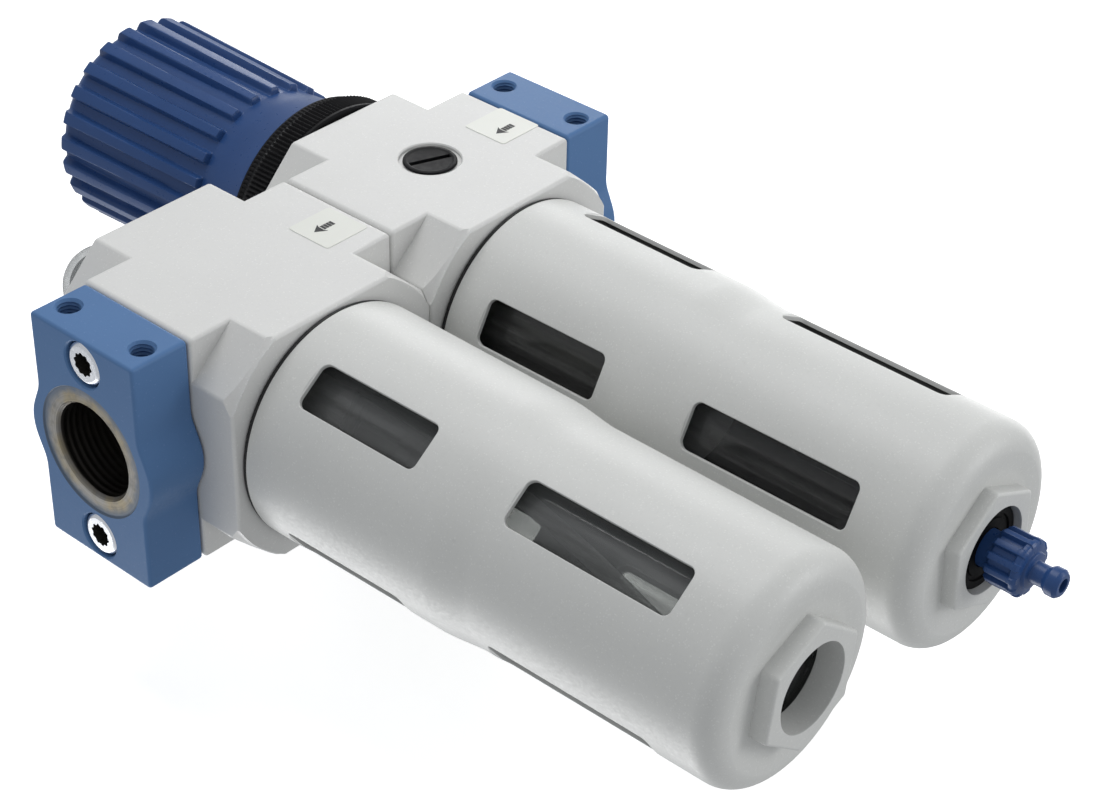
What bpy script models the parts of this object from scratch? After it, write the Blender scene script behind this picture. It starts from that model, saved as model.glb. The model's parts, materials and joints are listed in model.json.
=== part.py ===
"""Filter regulator lubricator: a two-module air service unit with G3/4 ports.

The finished part's frame: +Z is up, with the adjusting knob on top and the bowls
hanging below.  +X is the way the air flows and +Y points at the wall.  The origin
is the centre of the inlet plate's wall face, between its two tapped holes.

Pieces are first built about the port axis: x = 0 is the seam between the two
modules, y = 0 and z = 0 the port axis.  The last step hangs them all on the
origin.  Lengths are in millimetres, and every mesh is scaled to metres as it is made.
"""

import math

import bpy
import bmesh
from mathutils import Matrix, Vector

MM = 0.001

# ---- driving dimensions -----------------------------------------------------
PITCH = 66.0                    # width of one module along the air path
HALF = PITCH / 2
DEPTH = 64.0                    # body depth, front to rear
BACK = DEPTH / 2
GAP = 0.3                       # clearance between neighbouring pieces

BODY_TOP = 32.2
BODY_BASE = -32.0
BAND_TOP = 19.25                # the full-width band around the port axis
BAND_BASE = -18.6
TOP_NOTCH = (14.3, 14.3)        # corner cut of the octagon above the band (x, y)
BASE_NOTCH = (13.0, 12.0)       # corner cut of the octagon below the band (x, y)
COLLAR_R = 37.3                 # turned edge around the bowl end of a body

PORT_R = 10.5                   # air passage through the modules
PLATE_T = 17.2                  # thickness of a connecting plate
PLATE_H = 18.2                  # half height of a connecting plate
PLATE_BOSS_R = 21.1             # round boss around the port
THREAD_R = 12.1                 # core of the G3/4 thread
MOUTH_R = 13.6
FACED_RING_R = 17.3
SCREW_Y = 25.0                  # plate screws, in front of and behind the port
SCREW_SEAT_R = 6.1              # counterbore for a plate screw
SCREW_HEAD_R = 5.6
TAPPED = (9.1, 13.0)            # tapped rear holes: distance from the inner face, height
TAPPED_R = 2.7
GAUGE_PORT_R = 6.4
PLUG_SLOT_TURN = 68.0

BOWL_CAVITY_R = 27.5
BOWL_CAVITY_TOP = -16.5
GUARD_TOP = -33.6
GUARD_R = 31.2                  # guard radius next to the body
NARROW_R = 28.9                 # guard radius below its waist
GUARD_END = -174.0
HEX_END = -177.2
HEX_CORNER_R = 16.4
HEX_TURN = {"filter": 25.5, "lubricator": 38.5}
GUARD_BORE_R = 11.1
WINDOW_W = 11.2
WINDOW_CORNER = 2.0
WINDOWS_Z = ((-80.0, -44.2), (-153.3, -107.6))
WINDOW_TURN = {"filter": 29.0, "lubricator": 53.4}
BOWL_R = 24.9
BOWL_WALL = 1.8
BOWL_BASE = -166.0

SIPHON_Y = 14.5                 # the siphon passage, behind the lubricator axis
SIPHON_FOOT = (7.5, -6.0, -155.0)
TOP_CORNER = 14.5               # offset of the fill plug and the drip screw from the module axis

KNOB_BASE = 44.8
KNOB_TOP = 118.4
KNOB_RIBS = 24
KNOB_TURN = math.radians(7)
KNOB_LIFT = 3.0                 # pull-to-turn travel, sets the clearance inside the knob

GAUGE_R = 25.0
WIDE = 24                       # facets around a bowl guard
ROUND = 20                      # facets around a large round piece
SMALL = 12                      # facets around a small round piece
TINY = 8                        # facets around a screw or a pin
SHARP = math.radians(30)        # edges steeper than this are shaded as edges


# ---- helpers ----------------------------------------------------------------
def clear_scene():
    for item in list(bpy.data.objects):
        bpy.data.objects.remove(item, do_unlink=True)


def material(name, colour, roughness, metallic=0.0, alpha=1.0):
    found = bpy.data.materials.get(name)
    if found:
        return found
    made = bpy.data.materials.new(name)
    made.use_nodes = True
    shader = made.node_tree.nodes["Principled BSDF"]
    shader.inputs["Base Color"].default_value = (*colour, 1.0)
    shader.inputs["Roughness"].default_value = roughness
    shader.inputs["Metallic"].default_value = metallic
    shader.inputs["Alpha"].default_value = alpha
    made.diffuse_color = (*colour, alpha)
    return made


def axis_empty(name, x, y=0.0, z=0.0):
    made = bpy.data.objects.new(name, None)
    made.empty_display_size = 10 * MM
    made.location = Vector((x, y, z)) * MM
    bpy.context.collection.objects.link(made)
    return made


def solid(name, shape, finish=None, parent=None, smooth=True, spin=0.0):
    """An object from a bmesh in millimetres, which is freed."""
    shape.normal_update()
    mesh = bpy.data.meshes.new(name)
    shape.transform(Matrix.Scale(MM, 4))
    shape.to_mesh(mesh)
    shape.free()
    if smooth:
        mesh.shade_smooth()
        mesh.set_sharp_from_angle(angle=SHARP)
    made = bpy.data.objects.new(name, mesh)
    if finish:
        mesh.materials.append(finish)
    if parent:
        made.parent = parent
    made.rotation_euler.z = math.radians(spin)
    bpy.context.collection.objects.link(made)
    return made


def turned(profile, facets=ROUND, phase=0.0):
    """Closed solid of revolution about Z from a closed (radius, height) outline."""
    shape = bmesh.new()
    rings = []
    for radius, height in profile:
        if radius == 0:
            rings.append([shape.verts.new((0, 0, height))])
            continue
        ring = []
        for step in range(facets):
            angle = phase + math.tau * step / facets
            ring.append(shape.verts.new((radius * math.cos(angle), radius * math.sin(angle), height)))
        rings.append(ring)
    on_axis = any(len(ring) == 1 for ring in rings)
    spans = len(rings) - 1 if on_axis else len(rings)
    for index in range(spans):
        lower = rings[index]
        upper = rings[(index + 1) % len(rings)]
        for step in range(facets):
            after = (step + 1) % facets
            corners = [lower[step % len(lower)], lower[after % len(lower)]]
            corners += [upper[after % len(upper)], upper[step % len(upper)]]
            unique = list(dict.fromkeys(corners))
            if len(unique) > 2:
                shape.faces.new(unique)
    bmesh.ops.recalc_face_normals(shape, faces=shape.faces)
    return shape


def cylinder(radius, low, high, facets=ROUND, phase=0.0):
    return turned([(0, low), (radius, low), (radius, high), (0, high)], facets, phase)


def tube(inner, outer, low, high, facets=ROUND):
    return turned([(inner, low), (outer, low), (outer, high), (inner, high)], facets)


def prism(outline, low, high):
    """Straight solid over a flat outline given anticlockwise in the XY plane."""
    shape = bmesh.new()
    base = [shape.verts.new((x, y, low)) for x, y in outline]
    top = [shape.verts.new((x, y, high)) for x, y in outline]
    shape.faces.new(list(reversed(base)))
    shape.faces.new(top)
    for index in range(len(outline)):
        after = (index + 1) % len(outline)
        shape.faces.new((base[index], base[after], top[after], top[index]))
    return shape


def regular(corners, radius, turn=0.0):
    step = math.tau / corners
    return [(radius * math.cos(turn + step * k), radius * math.sin(turn + step * k)) for k in range(corners)]


def swept(path, radius, sides):
    """Round bar that follows a list of points."""
    shape = bmesh.new()
    rings = []
    side = Vector((0, 0, 1))
    for index, point in enumerate(path):
        ahead = path[min(index + 1, len(path) - 1)]
        behind = path[max(index - 1, 0)]
        along = (ahead - behind).normalized()
        first = (side - along * side.dot(along)).normalized()
        second = along.cross(first)
        ring = []
        for step in range(sides):
            angle = math.tau * step / sides
            offset = first * math.cos(angle) + second * math.sin(angle)
            ring.append(shape.verts.new(point + offset * radius))
        rings.append(ring)
    for lower, upper in zip(rings, rings[1:]):
        for step in range(sides):
            after = (step + 1) % sides
            shape.faces.new((lower[step], lower[after], upper[after], upper[step]))
    shape.faces.new(list(reversed(rings[0])))
    shape.faces.new(rings[-1])
    bmesh.ops.recalc_face_normals(shape, faces=shape.faces)
    return shape


def coil(mean_r, wire_r, low, high, turns, steps_per_turn, sides):
    """Compression spring wire, with its end turns lying nearly flat."""
    total = turns * steps_per_turn
    flat = 0.5 / turns
    path = []
    for index in range(total + 1):
        share = index / total
        rise = min(max((share - flat) / (1 - 2 * flat), 0.0), 1.0)
        angle = math.tau * index / steps_per_turn
        height = low + wire_r + (high - low - 2 * wire_r) * (0.04 * share + 0.96 * rise)
        path.append(Vector((mean_r * math.cos(angle), mean_r * math.sin(angle), height)))
    return swept(path, wire_r, sides)


def to_x(shape, x=0.0, y=0.0, z=0.0):
    """Lay a shape made along Z down along +X, then move it."""
    turn = Matrix(((0, 0, 1, x), (1, 0, 0, y), (0, 1, 0, z), (0, 0, 0, 1)))
    shape.transform(turn)
    return shape


def to_y(shape, x=0.0, y=0.0, z=0.0):
    """Lay a shape made along Z down along +Y, then move it."""
    turn = Matrix(((0, 1, 0, x), (0, 0, 1, y), (1, 0, 0, z), (0, 0, 0, 1)))
    shape.transform(turn)
    return shape


def moved(shape, x=0.0, y=0.0, z=0.0):
    shape.transform(Matrix.Translation((x, y, z)))
    return shape


def combine(target, shapes, operation="DIFFERENCE"):
    """Cut, join or intersect an object with shapes in its own frame."""
    bpy.context.view_layer.update()
    for shape in shapes:
        tool = solid("tool", shape, smooth=False)
        tool.matrix_world = target.matrix_world
        step = target.modifiers.new("step", "BOOLEAN")
        step.operation = operation
        step.object = tool
        bpy.context.view_layer.update()
        seen = target.evaluated_get(bpy.context.evaluated_depsgraph_get())
        result = bpy.data.meshes.new_from_object(seen)
        target.modifiers.remove(step)
        old = target.data
        target.data = result
        result.name = target.name
        bpy.data.meshes.remove(old)
        bpy.data.objects.remove(tool, do_unlink=True)
    tidy(target)
    return target


def tidy(target):
    """Merge stray points that a cut leaves, and shade the result."""
    shape = bmesh.new()
    shape.from_mesh(target.data)
    bmesh.ops.remove_doubles(shape, verts=shape.verts, dist=0.00001)
    bmesh.ops.dissolve_degenerate(shape, edges=shape.edges, dist=0.00001)
    shape.to_mesh(target.data)
    shape.free()
    target.data.shade_smooth()
    target.data.set_sharp_from_angle(angle=SHARP)


# ---- finishes ---------------------------------------------------------------
def finishes():
    return {
        "body": material("painted_light_grey", (0.70, 0.70, 0.68), 0.45),
        "blue": material("painted_blue", (0.10, 0.19, 0.36), 0.40),
        "knob": material("moulded_blue", (0.03, 0.07, 0.20), 0.42),
        "black": material("moulded_black", (0.02, 0.02, 0.02), 0.45),
        "rubber": material("black_rubber", (0.015, 0.015, 0.015), 0.7),
        "clear": material("clear_plastic", (0.85, 0.88, 0.88), 0.08, alpha=0.35),
        "zinc": material("zinc_steel", (0.68, 0.69, 0.70), 0.28, 1.0),
        "brass": material("brass", (0.74, 0.56, 0.25), 0.32, 1.0),
        "white": material("white_plastic", (0.86, 0.86, 0.84), 0.5),
        "filter": material("sintered_filter", (0.80, 0.79, 0.74), 0.9),
        "dial": material("dial_white", (0.92, 0.92, 0.90), 0.5),
        "pointer": material("pointer_black", (0.02, 0.02, 0.02), 0.4),
    }


# ---- module bodies ----------------------------------------------------------
def octagon(notch):
    cut_x, cut_y = notch
    x_in, y_in = HALF - GAP / 2 - cut_x, BACK - cut_y
    x_out, y_out = HALF - GAP / 2, BACK
    return [
        (x_in, -y_out), (x_out, -y_in), (x_out, y_in), (x_in, y_out),
        (-x_in, y_out), (-x_out, y_in), (-x_out, -y_in), (-x_in, -y_out),
    ]


def cast_block():
    """Octagon below, full-width band in the middle, octagon above."""
    width = HALF - GAP / 2
    band = [(-width, -BACK), (width, -BACK), (width, BACK), (-width, BACK)]
    block = solid("block", prism(octagon(BASE_NOTCH), BODY_BASE, BAND_BASE))
    combine(block, [prism(band, BAND_BASE, BAND_TOP)], "UNION")
    combine(block, [prism(octagon(TOP_NOTCH), BAND_TOP, BODY_TOP)], "UNION")
    flat_faces(block)
    turned_edge = 4.0
    collar = [
        (0, BODY_BASE - 1), (COLLAR_R - 1, BODY_BASE - 1), (COLLAR_R + turned_edge, BODY_BASE + turned_edge),
        (COLLAR_R + 30, BODY_BASE + turned_edge), (COLLAR_R + 30, BODY_TOP + 1), (0, BODY_TOP + 1),
    ]
    combine(block, [turned(collar, WIDE)], "INTERSECT")
    return block


def flat_faces(target):
    """Merge coplanar neighbours, so that only the real edges are left."""
    shape = bmesh.new()
    shape.from_mesh(target.data)
    bmesh.ops.dissolve_limit(shape, angle_limit=math.radians(1), verts=shape.verts, edges=shape.edges)
    shape.to_mesh(target.data)
    shape.free()


def side_holes(inner_end):
    """Holes for a plate screw or stud at both sides of a body."""
    cuts = []
    for y in (-SCREW_Y, SCREW_Y):
        cuts.append(to_x(cylinder(2.7, inner_end, HALF + 1, TINY), y=y))
        cuts.append(to_x(cylinder(2.7, -HALF - 1, -inner_end, TINY), y=y))
    return cuts


def gauge_port(side, face_r):
    """Port from a face to the outlet chamber, with a shallow spot face."""
    depth, spot = 8.0, BACK - 1.0
    profile = [(0, depth), (GAUGE_PORT_R, depth), (GAUGE_PORT_R, spot), (face_r, spot), (face_r, BACK + 1),
               (0, BACK + 1)]
    port = to_y(turned(profile, SMALL, 0.11))
    if side < 0:
        port.transform(Matrix.Rotation(math.pi, 4, "Z"))
    return port


def module_body(name, finish, parent, cuts):
    body = cast_block()
    body.name = name
    body.data.materials.append(finish)
    body.parent = parent
    return combine(body, cuts + side_holes(HALF - 14))


def regulator_body(finish, parent):
    """Bowl cavity, valve seat, outlet chamber, sensing hole and diaphragm seat on one axis."""
    seat_r, seat_base, chamber_r, chamber_top = 8.0, -9.5, 12.0, 12.0
    sensing_r, floor, diaphragm_r, rim = 3.2, 20.5, 24.0, 28.0
    bore = [
        (0, BODY_BASE - 2), (BOWL_CAVITY_R, BODY_BASE - 2), (BOWL_CAVITY_R, BOWL_CAVITY_TOP),
        (seat_r, BOWL_CAVITY_TOP), (seat_r, seat_base), (chamber_r, seat_base), (chamber_r, chamber_top),
        (sensing_r, chamber_top), (sensing_r, floor), (diaphragm_r, floor), (diaphragm_r, rim),
        (28.6, rim), (28.6, BODY_TOP + 1), (0, BODY_TOP + 1),
    ]
    cuts = [
        turned(bore),
        to_x(cylinder(PORT_R, 0, HALF + 1, SMALL, 0.07)),
        to_x(cylinder(PORT_R, -HALF - 1, -18.5, SMALL, 0.07)),
        moved(cylinder(5.5, BOWL_CAVITY_TOP - 1, 0, SMALL, 0.13), x=-20.5),
        gauge_port(1, 8.2),
        gauge_port(-1, 8.6),
    ]
    return module_body("regulator_body", finish, parent, cuts)


def lubricator_body(finish, parent):
    """Bowl cavity below, straight air passage, dome seat and two small screw ports on top."""
    corner = TOP_CORNER
    dome_seat = [
        (0, 9.0), (1.6, 9.0), (1.6, 16.0), (9.0, 16.0), (9.0, 26.0), (12.6, 26.0), (12.6, BODY_TOP + 1),
        (0, BODY_TOP + 1),
    ]
    cuts = [
        cylinder(BOWL_CAVITY_R, BODY_BASE - 2, BOWL_CAVITY_TOP),
        to_x(cylinder(PORT_R, -HALF - 1, HALF + 1, SMALL, 0.07)),
        turned(dome_seat, SMALL),
        moved(cylinder(2.4, BOWL_CAVITY_TOP - 1, 20.0, TINY), y=SIPHON_Y),
        to_y(cylinder(1.6, 8.0, SIPHON_Y, TINY, 0.09), z=18.0),
        moved(cylinder(2.4, BOWL_CAVITY_TOP - 1, 21.0, TINY), x=corner, y=-corner),
        moved(cylinder(5.4, 20.0, BODY_TOP + 1, SMALL), x=corner, y=-corner),
        moved(cylinder(3.0, 22.0, BODY_TOP + 1, TINY), x=-corner, y=-corner),
    ]
    return module_body("lubricator_body", finish, parent, cuts)


# ---- connecting plates and the seam ----------------------------------------
def plate_outline():
    """Rectangle with a round boss that stands out above and below the port."""
    reach = math.acos(PLATE_H / PLATE_BOSS_R)
    steps = 4
    points = [(-BACK, -PLATE_H)]
    for side in (-1, 1):
        middle = side * math.pi / 2
        for index in range(steps + 1):
            angle = middle - reach + 2 * reach * index / steps
            points.append((PLATE_BOSS_R * math.cos(angle), PLATE_BOSS_R * math.sin(angle)))
        points.append((BACK, -PLATE_H) if side < 0 else (-BACK, PLATE_H))
        if side < 0:
            points.append((BACK, PLATE_H))
    return points


def connecting_plate(name, finish, side):
    """A plate built on the +X side; the other side is the same plate turned half a turn."""
    inner = PITCH + GAP / 2
    outer = inner + PLATE_T - GAP
    shape = to_x(prism(plate_outline(), inner, outer))
    plate = solid(name, shape, finish)
    flat_faces(plate)
    cuts = [
        to_x(cylinder(PORT_R, inner - 1, outer, SMALL)),
        to_x(cylinder(THREAD_R, inner + 3, outer + 1)),
        to_x(turned([(0, outer - 2), (THREAD_R - 0.5, outer - 2), (MOUTH_R + 0.5, outer + 0.5), (0, outer + 0.5)])),
        to_x(cylinder(FACED_RING_R, outer - 0.4, outer + 1)),
        to_x(tube(12.4, 16.0, inner - 1, inner + 1.6, SMALL)),
    ]
    for y in (-SCREW_Y, SCREW_Y):
        cuts.append(to_x(cylinder(2.8, inner - 1, outer, TINY), y=y))
        cuts.append(to_x(cylinder(SCREW_SEAT_R, outer - 6.5, outer + 1, SMALL), y=y))
    reach, height = TAPPED
    for z in (-height, height):
        cuts.append(to_y(cylinder(TAPPED_R, BACK - 12, BACK + 1, SMALL), x=inner + reach, z=z))
    combine(plate, cuts)
    if side < 0:
        mirror_x(plate)
    return plate


def mirror_x(target):
    shape = bmesh.new()
    shape.from_mesh(target.data)
    shape.transform(Matrix.Scale(-1, 4, Vector((1, 0, 0))))
    bmesh.ops.reverse_faces(shape, faces=shape.faces)
    shape.to_mesh(target.data)
    shape.free()
    target.data.set_sharp_from_angle(angle=SHARP)


def plate_screw(name, finish, side, y):
    """Socket screw whose head sits in the plate's counterbore."""
    head_top = PITCH + PLATE_T - 1.2
    head_base = head_top - 5.0
    shape = turned([
        (0, head_top - 3), (3.1, head_top - 3), (3.1, head_top), (SCREW_HEAD_R - 0.6, head_top),
        (SCREW_HEAD_R, head_top - 0.8), (SCREW_HEAD_R, head_base), (2.4, head_base), (2.4, PITCH - 13),
        (0, PITCH - 13),
    ], TINY)
    screw = solid(name, to_x(shape, y=y), finish)
    if side < 0:
        mirror_x(screw)
    return screw


def face_seal(name, finish, inner_x, side):
    """Rectangular ring that sits in the groove of a plate."""
    seal = solid(name, to_x(tube(12.7, 15.7, inner_x + 0.1, inner_x + 1.3, SMALL)), finish)
    if side < 0:
        mirror_x(seal)
    return seal


def seam_pieces(metal, rubber):
    for name, y in (("module_stud_front", -SCREW_Y), ("module_stud_rear", SCREW_Y)):
        solid(name, to_x(cylinder(2.4, -11, 11, TINY), y=y), metal)
    lip = PORT_R - GAP
    profile = [(lip - 1.0, -6), (lip, -6), (lip, 6), (lip - 1.0, 6)]
    solid("module_seal_sleeve", to_x(turned(profile, SMALL)), rubber)


# ---- ports and gauge --------------------------------------------------------
def gauge_port_plug(finish, parent):
    """Slotted screw plug that closes the rear gauge port."""
    face = BACK - 0.6
    profile = [(0, face - 12), (5.4, face - 12), (6.0, face - 11.4), (6.0, face - 0.1), (7.2, face - 0.1),
               (7.2, face + 0.3), (7.0, face + 0.5), (0, face + 0.5)]
    plug = solid("gauge_port_plug", to_y(turned(profile, SMALL)), finish, parent)
    slot = prism([(-5.9, -0.8), (5.9, -0.8), (5.9, 0.8), (-5.9, 0.8)], face - 1.2, face + 2)
    slot.transform(Matrix.Rotation(math.radians(PLUG_SLOT_TURN), 4, "Z"))
    return combine(plug, [to_y(slot)])


def toward_front(target):
    """Turn a piece made along +Z so that it points out of the front face."""
    target.rotation_euler.x = math.pi / 2
    return target


def pressure_gauge(mats, parent):
    """The gauge, built along +Z from the body's front face."""
    case_base, case_front = 7.4, 30.0
    socket = solid("gauge_socket", prism(regular(6, 8.1), GAP, 7.0), mats["brass"], parent)
    toward_front(socket)
    combine(socket, [cylinder(6.1, -9.0, 1.0, SMALL)], "UNION")
    combine(socket, [cylinder(3.4, 6.5, 13.5, SMALL)], "UNION")
    combine(socket, [cylinder(1.4, -10.0, 12.0, TINY)])
    case = [
        (3.9, case_base), (GAUGE_R - 2, case_base), (GAUGE_R, case_base + 2), (GAUGE_R, case_front - 0.8),
        (GAUGE_R - 0.8, case_front), (GAUGE_R - 2.6, case_front), (GAUGE_R - 2.6, 28.6), (GAUGE_R - 1.5, 28.6),
        (GAUGE_R - 1.5, case_base + 1.6), (3.9, case_base + 1.6),
    ]
    toward_front(solid("gauge_case", turned(case, ROUND), mats["black"], parent))
    toward_front(solid("gauge_dial", tube(1.9, GAUGE_R - 2.0, 21.0, 21.8), mats["dial"], parent))
    toward_front(solid("gauge_lens", cylinder(GAUGE_R - 1.9, 26.6, 28.2), mats["clear"], parent))
    hub = turned([(0, 15.6), (1.4, 15.6), (1.4, 22.4), (2.6, 22.4), (2.6, 24.4), (0, 24.4)], SMALL)
    pointer = toward_front(solid("gauge_pointer", hub, mats["pointer"], parent))
    blade = prism([(-0.9, -7.0), (0.9, -7.0), (0.35, 17.5), (-0.35, 17.5)], 23.0, 23.9)
    blade.transform(Matrix.Rotation(math.radians(135), 4, "Z"))
    combine(pointer, [blade], "UNION")
    bend, steps, bend_r = [], 12, 15.5
    for index in range(steps + 1):
        angle = math.radians(-75 + 250 * index / steps)
        bend.append(Vector((bend_r * math.cos(angle), bend_r * math.sin(angle), 15.0)))
    toward_front(solid("bourdon_tube", swept(bend, 1.7, 6), mats["brass"], parent))


# ---- regulator head ---------------------------------------------------------
def knob_ring(shape, height, rib_r, gap_r):
    """One row of the knob's outline: four corners for each rib and its gap."""
    pitch = math.tau / KNOB_RIBS
    ring = []
    for rib in range(KNOB_RIBS):
        for part, radius in ((-0.29, rib_r), (0.29, rib_r), (0.37, gap_r), (0.63, gap_r)):
            angle = pitch * (rib + part) + KNOB_TURN
            ring.append(shape.verts.new((radius * math.cos(angle), radius * math.sin(angle), height)))
    return ring


def adjusting_knob(finish, parent):
    """Ribbed cap with a smooth flared skirt, pulled up to unlock it."""
    rows = [
        (KNOB_BASE, 29.7, 29.7), (KNOB_BASE + 16.5, 27.1, 27.1), (KNOB_BASE + 17.6, 28.5, 27.0),
        (KNOB_TOP - 3.0, 30.1, 28.2), (KNOB_TOP, 27.0, 26.2),
    ]
    shape = bmesh.new()
    rings = [knob_ring(shape, *row) for row in rows]
    count = len(rings[0])
    for lower, upper in zip(rings, rings[1:]):
        for step in range(count):
            after = (step + 1) % count
            shape.faces.new((lower[step], lower[after], upper[after], upper[step]))
    shape.faces.new(list(reversed(rings[0])))
    shape.faces.new(rings[-1])
    bmesh.ops.recalc_face_normals(shape, faces=shape.faces)
    knob = solid("adjusting_knob", shape, finish, parent)
    hub_r, hub_base, roof = 9.0, 101.5 + KNOB_LIFT, 105.0 + KNOB_LIFT
    inside = [
        (0, KNOB_BASE - 1), (27.6, KNOB_BASE - 1), (27.6, KNOB_BASE + 5), (25.3, KNOB_BASE + 8),
        (25.3, roof), (hub_r, roof), (hub_r, hub_base), (4.4, hub_base), (4.4, roof + 7), (0, roof + 7),
    ]
    dish = [(0, KNOB_TOP + 1), (0, KNOB_TOP - 1.4), (21.0, KNOB_TOP - 1.4), (22.5, KNOB_TOP + 0.2),
            (22.5, KNOB_TOP + 1)]
    return combine(knob, [turned(inside), turned(dish)])


def regulator_head(mats, parent):
    bonnet_base = 29.6
    bonnet = [
        (21.0, bonnet_base), (28.2, bonnet_base), (28.2, 32.6), (27.0, 32.6), (27.0, 48.0), (24.5, 50.0),
        (24.5, 99.0), (23.5, 100.0), (4.4, 100.0), (4.4, 97.0), (21.0, 97.0),
    ]
    solid("regulator_bonnet", turned(bonnet), mats["black"], parent)
    ring = [(27.4, 33.0), (32.9, 33.0), (32.9, 40.6), (31.6, 41.6), (31.6, 44.4), (27.4, 44.4)]
    solid("lock_ring", turned(ring, WIDE), mats["black"], parent)
    adjusting_knob(mats["knob"], parent)
    spindle = [
        (0, 64.0), (3.4, 64.0), (3.9, 64.6), (3.9, 92.3), (7.0, 92.3), (7.0, 96.6), (3.9, 96.6),
        (3.9, 110.5), (3.4, 111.2), (0, 111.2),
    ]
    solid("adjusting_spindle", turned(spindle, TINY), mats["zinc"], parent)
    nut = [
        (4.3, 78.0), (9.0, 78.0), (9.0, 84.5), (20.4, 84.5), (20.4, 89.0), (6.5, 89.0), (4.3, 88.0),
    ]
    solid("spring_nut", turned(nut, SMALL), mats["brass"], parent)
    spring = coil(13.4, 1.7, 32.7, 84.2, 6, 8, 4)
    solid("main_spring", spring, mats["zinc"], parent)
    sheet = [
        (9.0, 28.3), (14.0, 28.3), (17.0, 26.6), (21.0, 26.6), (23.2, 28.3), (28.2, 28.3), (28.2, 29.3),
        (23.2, 29.3), (20.6, 27.6), (17.4, 27.6), (14.4, 29.3), (9.0, 29.3),
    ]
    solid("diaphragm", turned(sheet, SMALL), mats["rubber"], parent)
    plate = [
        (1.2, 26.0), (13.4, 26.0), (13.4, 27.9), (8.4, 27.9), (8.4, 30.9), (16.4, 30.9), (17.0, 31.5),
        (17.0, 32.4), (10.0, 32.4), (9.0, 34.6), (3.0, 34.6), (1.2, 30.0),
    ]
    solid("diaphragm_plate", turned(plate, SMALL), mats["brass"], parent)


# ---- valve and filter -------------------------------------------------------
def valve_set(mats, parent):
    seat = [(4.6, -14.0), (7.6, -14.0), (7.6, -10.2), (5.2, -10.2), (4.6, -10.8)]
    solid("valve_seat", turned(seat, SMALL), mats["brass"], parent)
    stem = [
        (0, -24.0), (3.2, -24.0), (3.2, -16.8), (6.2, -16.8), (6.2, -14.3), (4.2, -14.3), (1.8, -12.6),
        (1.8, 24.6), (1.0, 25.6), (0, 25.6),
    ]
    solid("valve_stem", turned(stem, TINY), mats["brass"], parent)
    guide = [
        (0, -93.0), (2.6, -93.0), (2.6, -37.0), (10.8, -36.0), (10.8, -19.6), (14.0, -19.6), (14.0, -17.0),
        (7.4, -17.0), (7.4, -33.8), (0, -33.8),
    ]
    guide = solid("valve_guide", turned(guide, SMALL), mats["white"], parent)
    slots = []
    for index in range(2):
        slot = prism([(-12, -2.4), (12, -2.4), (12, 2.4), (-12, 2.4)], -33.0, -22.0)
        slot.transform(Matrix.Rotation(index * math.pi / 2, 4, "Z"))
        slots.append(slot)
    combine(guide, slots)
    solid("valve_spring", coil(4.9, 0.6, -33.5, -17.1, 4, 8, 4), mats["zinc"], parent)
    solid("filter_element", tube(11.3, 15.6, -86.0, -20.0), mats["filter"], parent)
    baffle = [
        (2.9, -91.6), (6.0, -91.6), (7.0, -88.6), (18.6, -92.6), (19.2, -91.4), (8.0, -86.4), (2.9, -86.4),
    ]
    solid("baffle_disc", turned(baffle, ROUND), mats["white"], parent)
    swirl_deflector(mats["white"], parent)


def swirl_deflector(finish, parent):
    """Ring with slanted vanes that sets the incoming air spinning."""
    vanes = 12
    ring = solid("swirl_deflector", tube(16.2, 18.0, -29.0, -21.2), finish, parent)
    blades = []
    for index in range(vanes):
        blade = prism([(17.0, -0.6), (22.4, -0.6), (22.4, 0.6), (17.0, 0.6)], -28.0, -22.0)
        blade.transform(Matrix.Rotation(math.radians(24), 4, "X"))
        blade.transform(Matrix.Translation((0, -25.0 * math.sin(math.radians(24)), 0)))
        blade.transform(Matrix.Rotation(math.tau * index / vanes, 4, "Z"))
        blades.append(blade)
    return combine(ring, blades, "UNION")


# ---- bowls and guards -------------------------------------------------------
def bowl_profile(hole_r):
    """Clear cup: flange in the body, straight wall, rounded base."""
    outer, inner = BOWL_R, BOWL_R - BOWL_WALL
    flange_r, flange_top = 26.8, -18.6
    corner = 9.0
    points = [(inner, flange_top), (flange_r, flange_top), (flange_r, -20.6), (outer, -20.6)]
    steps = 2
    for index in range(steps + 1):
        angle = math.pi / 2 * index / steps
        points.append((outer - corner + corner * math.cos(angle), BOWL_BASE + corner - corner * math.sin(angle)))
    if hole_r:
        points += [(hole_r, BOWL_BASE), (hole_r, BOWL_BASE + BOWL_WALL)]
    else:
        points += [(0, BOWL_BASE), (0, BOWL_BASE + BOWL_WALL)]
    inner_corner = corner - BOWL_WALL
    for index in range(steps + 1):
        angle = math.pi / 2 * (1 - index / steps)
        points.append((outer - corner + inner_corner * math.cos(angle),
                       BOWL_BASE + corner - inner_corner * math.sin(angle)))
    return points


def clear_bowl(name, finish, parent, hole_r=0.0):
    points = bowl_profile(hole_r)
    if not hole_r:
        cut = points.index((0, BOWL_BASE + BOWL_WALL))
        points = points[cut:] + points[:cut]
    return solid(name, turned(points), finish, parent)


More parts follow.
